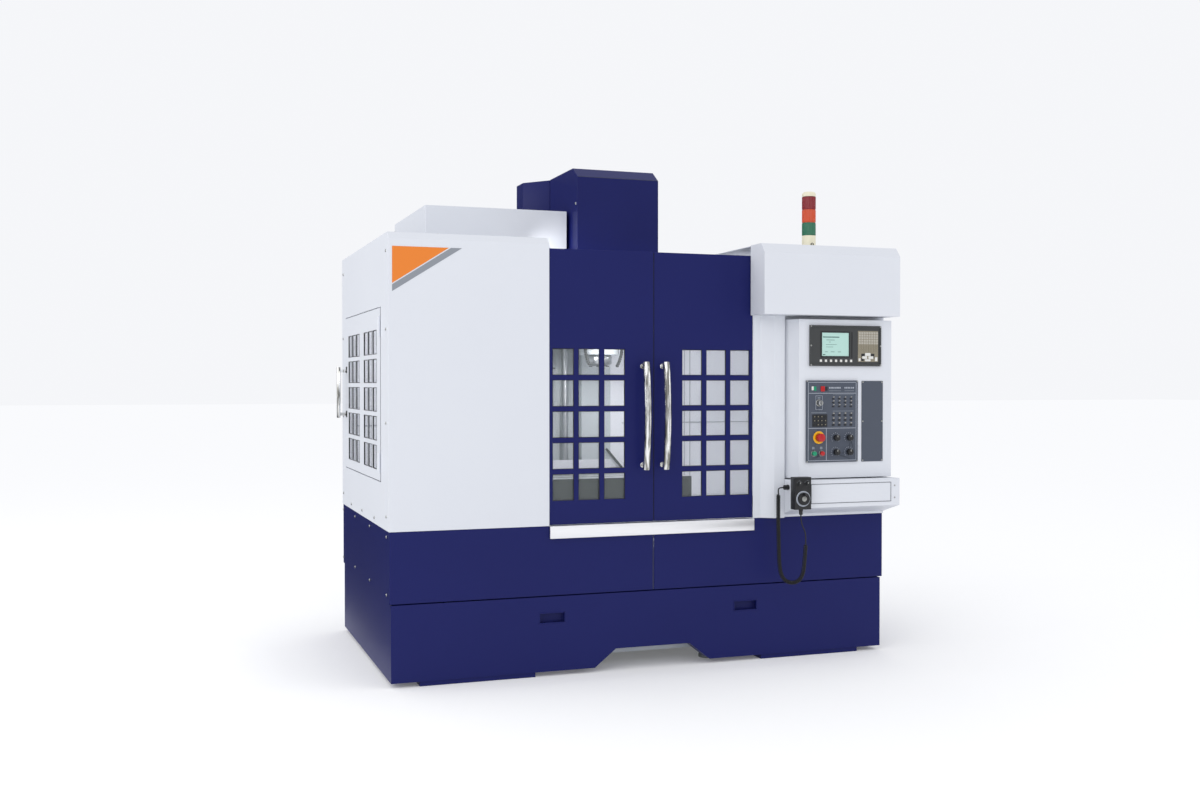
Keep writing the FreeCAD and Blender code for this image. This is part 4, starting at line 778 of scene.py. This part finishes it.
for angle in np.radians(np.arange(0, 360, 12)):
    u, w = DIAL_X + 34 * math.cos(angle), DIAL_Z + 34 * math.sin(angle)
    marks.append(((u - 0.8, PENDANT_FACE - 1.9, w - 0.8), (u + 0.8, PENDANT_FACE - 1.4, w + 0.8)))
boxes("dial_marks", marks, field_dark, edge=0.0)
turned("dial_hub", [(13, 0), (12, 2.2), (6, 3.2)], [(DIAL_X, -213.8, DIAL_Z)], "front", screw_metal,
       body="handwheel", sides=32)
turned("dial_crank", [(5, 0), (6.4, 2), (6.8, 12), (6, 17), (3, 19)], [(DIAL_X, -213.6, DIAL_Z + 20)],
       "front", black, body="handwheel", sides=20)
SELECTOR = [(11.5, 0), (11.5, 1.4), (9, 2), (8.4, 10), (7.4, 11.4), (3, 11.6)]
turned("pendant_selectors", SELECTOR, [(x, PENDANT_FACE, SELECTOR_Z) for x in SELECTOR_X], "front", bezel)
boxes("selector_marks", on_face([(x - 0.8, 877, 1.6, 6.5) for x in SELECTOR_X], -214.2, -213.2), key_pale,
      edge=0.0)
ticks = []
for x in SELECTOR_X:
    for angle in np.radians((30, 60, 90, 120, 150)):
        u, w = x + 14.4 * math.cos(angle), SELECTOR_Z + 14.4 * math.sin(angle)
        ticks.append(((u - 0.9, PENDANT_FACE - 0.6, w - 0.9), (u + 0.9, PENDANT_FACE + 0.4, w + 0.9)))
boxes("selector_scales", ticks, silver_ink, edge=0.0)
boxes("pendant_grips", [((x, -194, 760 + 9 * n), (x + 3, -164, 764 + 9 * n)) for n in range(9)
                        for x in (1911.4, 1997.6)], rubber, edge=1.2)
turned("pendant_boot", [(4.2, 724), (6.6, 726), (7.4, 732), (6.8, 733.4), (8.2, 735), (9.0, 740),
                        (8.4, 741.4), (9.8, 743), (11, 750), (12.5, 752.5)], [(1956, -179, 0)], "z", rubber)
turned("gland_nut", [(13.2, 0), (13.2, 8), (11.5, 9.5), (7, 11)], [(1940, -80, 850)], "left", rubber,
       sides=6, smooth=10)


# ---- Pulls and plinth of the coolant tank ------------
# The tank's front is one folded plate. Two hand holes with rolled rims serve to draw it out,
# and steel skids under its wings carry it over the floor.

rims = []
for left in (700, 1690):
    rims += border((left - 5, -2.2, 245), (left + 123, 1.5, 297), 5, X, Z)
boxes("hand_hole_rims", rims, navy, body="tank", edge=1.6)
boxes("skirt_seam", [((1261.8, 3.0, 378), (1264.4, 5.0, 694))], seam, edge=0.0)


# ---- Levelling feet ------------
# Six forged steel pads carry the bed on threaded studs. A blackened hexagon nut locks each
# stud at its height.

turned("foot_nuts", [(24, 26), (24, 42), (22, 44), (14.3, 44)],
       [(x, y, 0) for x in (913, 1613) for y in (150, 1010, 1850)], "z", black_oxide, sides=6, smooth=10)


# ---- The electrical cabinet ------------
# Its sheet steel door has pressed louvres, a lockable rotary switch and a rubber seal. Inside,
# drives, relays, breakers and slotted wire ducts are screwed to a galvanised plate.

LOUVRES = [(left, base + 24 * n) for left in (1730, 2110) for n in range(12) for base in (640, 1400)]
boxes("louvre_shadows", [((x, 1877.6, z), (x + 280, 1879.2, z + 4)) for x, z in LOUVRES], seam,
      body="cabinet_leaf", edge=0.0)
boxes("louvre_hoods", [((x - 6, 1876, z + 4), (x + 286, 1885, z + 15)) for x, z in LOUVRES], white,
      body="cabinet_leaf", edge=3.6)
SWITCH = [(1740, 1878, 1260)]
turned("switch_plate", [(34, 0), (34, 2.4), (32.5, 3.4), (16, 3.4)], SWITCH, "y", yellow,
       body="cabinet_leaf", sides=40)
turned("switch_hub", [(17, 3), (17, 14), (15.5, 16), (4, 16.4)], SWITCH, "y", red, body="cabinet_leaf",
       sides=32)
boxes("switch_grip", [((1735, 1890, 1234), (1745, 1903, 1286))], red, body="cabinet_leaf", edge=2.4)
boxes("cabinet_seal", border((1661, 1853, 421), (2459, 1857, 1919), 5, Z, X), gasket, edge=0.8)
PLATE_FACE = 1341  # the mounting plate, seen from behind
galvanised = bare_metal("galvanised_sheet", "#b9bdbd", 0.45, 0.02, strength=0.05)
boxes("mounting_plate", [((1690, 1338, 450), (2430, PLATE_FACE, 1890))], galvanised, edge=0.8)
drives = [((1710 + 118 * n, PLATE_FACE, 1180), (1710 + 118 * n + 108, 1560, 1560)) for n in range(6)]
boxes("drive_units", drives, key_grey, edge=3.0)
boxes("drive_faces", [((x + 8, 1559, z + 16), (x + 100, 1564, z + 150)) for (x, _, z), _ in drives],
      charcoal, edge=1.5)
boxes("drive_terminals", [((x + 12 + 22 * k, 1559, 1500), (x + 26 + 22 * k, 1572, 1530))
                          for (x, _, _), _ in drives for k in range(4)], green, edge=0.8)
DUCTS = (1090, 1600, 850, 600)
boxes("wire_ducts", [((1700, PLATE_FACE, z), (2420, 1401, z + 50)) for z in DUCTS]
      + [((1694, PLATE_FACE, 480), (1734, 1401, 1090))], key_pale, edge=1.2)
boxes("duct_slots", [((1712 + 18 * k, 1400.4, z + 8), (1717 + 18 * k, 1401.6, z + 42)) for z in DUCTS
                     for k in range(39)], seam, edge=0.0)
boxes("relays", [((1750 + 27 * k, PLATE_FACE, 700), (1750 + 27 * k + 23, 1412, 790)) for k in range(24)],
      key_pale, edge=1.0)
boxes("breakers", [((1750 + 40 * k, PLATE_FACE, 935), (1750 + 40 * k + 36, 1420, 1040)) for k in range(16)],
      slate, edge=1.4)
boxes("transformer", [((1760, PLATE_FACE, 1690), (1960, 1500, 1850))], black, edge=2.0)
boxes("supply_unit", [((2040, PLATE_FACE, 1690), (2380, 1480, 1850))], galvanised, edge=2.0)
turned("cabinet_screws", BUTTON_HEAD, [(2460, y, z) for y in (1370, 1610, 1830)
                                       for z in (470, 900, 1400, 1870)], "x", zinc, sides=12)


# ---- The back of the column ------------
# Enamelled plates are bolted over the casting's openings. Two forged eyebolts on the top
# lift the machine, and an air filter with two bowls hangs on a plate below.

COVER_FACE = 1884  # the outside of the cover plates
boxes("column_plates", [((1080, 1878, 700), (1446, COVER_FACE, 1180)),
                        ((1080, 1878, 1260), (1446, COVER_FACE, 1740)),
                        ((1100, 1878, 1830), (1426, COVER_FACE, 2160))], casting, edge=2.2)
turned("plate_bolts", [(8, 0), (8, 5), (6.8, 6.4), (4.4, 6.4), (4.2, 3)],
       [(x, COVER_FACE, z) for x in (1096, 1263, 1430) for z in (716, 1164, 1276, 1724)]
       + [(x, COVER_FACE, z) for x in (1116, 1263, 1410) for z in (1846, 2144)], "y", black_oxide, sides=12)
EYE_Y, EYE_Z, EYE_RING, EYE_ROD = 1790, 2284, 24, 7  # its middle, its ring's and its rod's radius
EYES = {"eyebolt_left": 1000, "eyebolt_right": 1526}
turned("eyebolt_feet", [(17, 0), (17, 4), (11, 8), (10, 14)], [(x, EYE_Y, 2250) for x in EYES.values()],
       "z", black_oxide)
round_ring, round_rod = np.meshgrid(np.linspace(0, 2 * math.pi, 36, endpoint=False),
                                    np.linspace(0, 2 * math.pi, 12, endpoint=False), indexing="ij")
out = EYE_RING + EYE_ROD * np.cos(round_rod)
index = np.arange(out.size).reshape(out.shape)
ahead = np.roll(index, -1, 0)
quads = np.stack([np.roll(index, -1, 1), np.roll(ahead, -1, 1), ahead, index], -1).reshape(-1, 4).tolist()
for name, x in EYES.items():
    ring = np.stack([x + EYE_ROD * np.sin(round_rod), EYE_Y + out * np.cos(round_ring),
                     EYE_Z + out * np.sin(round_ring)], -1)
    made_piece(name, ring, quads, black_oxide, "machine", 0).data.shade_smooth()
boxes("air_unit_plate", [((1040, COVER_FACE, 480), (1200, 1889, 600))], steel, edge=1.0)
turned("air_bowls", [(3, -58), (10, -56), (19, -48), (21, -8), (21, 0), (25, 2), (25, 34), (16, 36),
                     (16, 50), (13, 53), (4, 53)], [(1080, 1862, 560), (1160, 1862, 560)], "z", charcoal,
       sides=28)


# ---- The pendant's curly cord ------------
# A rubber lead of 6.2 mm that leaves a gland on the shelf's side, is wound into a close
# curl for most of its length, and comes up into the pendant through a rubber boot.

LEAD_OUT = [(1918, -80, 850), (1900, -80, 850), (1884, -86, 846), (1880.19, -91.81, 836), (1880, -92, 824)]
CURL = [(1880, -92, 824), (1878, -94, 700), (1880, -97, 570), (1881, -101, 470), (1891, -108, 418),
        (1915, -122, 392), (1949, -144, 392), (1973, -158, 418), (1983, -165, 470), (1986, -172, 585)]
LEAD_IN = [(1986, -172, 585), (1986.5, -173.2, 605), (1983, -175, 640), (1964, -178, 672),
           (1956, -179, 702), (1956, -179, 726)]
CORD_WIDTH, CURL_WIDTH, CURL_PITCH = 0.0062, 0.0215, 0.0078


def route_points(points):
    """Closely spaced points along the smooth line of a route given in millimetres."""
    curve = bpy.data.curves.new("route", "CURVE")
    curve.dimensions, curve.resolution_u = "3D", 24
    line = curve.splines.new("NURBS")
    line.points.add(len(points) - 1)
    placed = np.array(points) / 1000 + (BASE_X, BASE_Y, 0)
    line.points.foreach_set("co", np.c_[placed, np.ones(len(placed))].ravel())
    line.order_u, line.use_endpoint_u = 3, True
    holder = bpy.data.objects.new("route", curve)
    mesh = bpy.data.meshes.new_from_object(holder)
    found = np.zeros(len(mesh.vertices) * 3)
    mesh.vertices.foreach_get("co", found)
    bpy.data.objects.remove(holder)
    return found.reshape(-1, 3)


def spaced(path, step):
    """Points a step apart along a path, how far along each is, and the path's length."""
    along = np.r_[0, np.cumsum(np.linalg.norm(np.diff(path, axis=0), axis=1))]
    marks = np.linspace(0, along[-1], max(2, int(round(along[-1] / step)) + 1))
    return np.stack([np.interp(marks, along, path[:, k]) for k in range(3)], -1), marks, along[-1]


def frames_along(path):
    """Two directions across a path at each point, worked from one fixed side direction."""
    ahead = np.gradient(path, axis=0)
    ahead /= np.linalg.norm(ahead, axis=1)[:, None]
    side = np.cross(ahead, (0.53, 0.85, 0.03))
    side /= np.linalg.norm(side, axis=1)[:, None]
    return side, np.cross(ahead, side)


def tube(name, path, width, material, sides=10):
    """A round section carried along a path."""
    side, over = frames_along(path)
    turn = np.linspace(0, 2 * math.pi, sides, endpoint=False)
    circle = np.cos(turn)[None, :, None] * side[:, None] + np.sin(turn)[None, :, None] * over[:, None]
    piece = surface(name, path[:, None] + width / 2 * circle, closed=True, material=material)
    piece.data.shade_smooth()
    return piece


def winding(path, radius, pitch):
    """A helix about a path: it starts and ends on the path and stands off by the radius between.
    It turns once a pitch, and slower where it stands off less."""
    middle, marks, length = spaced(path, pitch / 14)
    side, over = frames_along(middle)
    ease = np.clip(np.minimum(marks, length - marks) / (pitch * 1.5), 0, 1)[:, None] * radius
    turn = (np.cumsum(ease) / radius * (2 * math.pi * (marks[1] - marks[0]) / pitch))[:, None]
    return middle + ease * (np.cos(turn) * side + np.sin(turn) * over)


curl = winding(route_points(CURL), (CURL_WIDTH - CORD_WIDTH) / 2, CURL_PITCH)
lead_out, lead_in = (spaced(route_points(lead), 0.003)[0] for lead in (LEAD_OUT, LEAD_IN))
cord_path = np.concatenate([lead_out[:-1], curl, lead_in[1:]])
cord = tube("pendant_cord", cord_path, CORD_WIDTH, rubber)
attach(cord, "machine")
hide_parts("cord_lead_upper", "cord_curl", "cord_lead_lower")
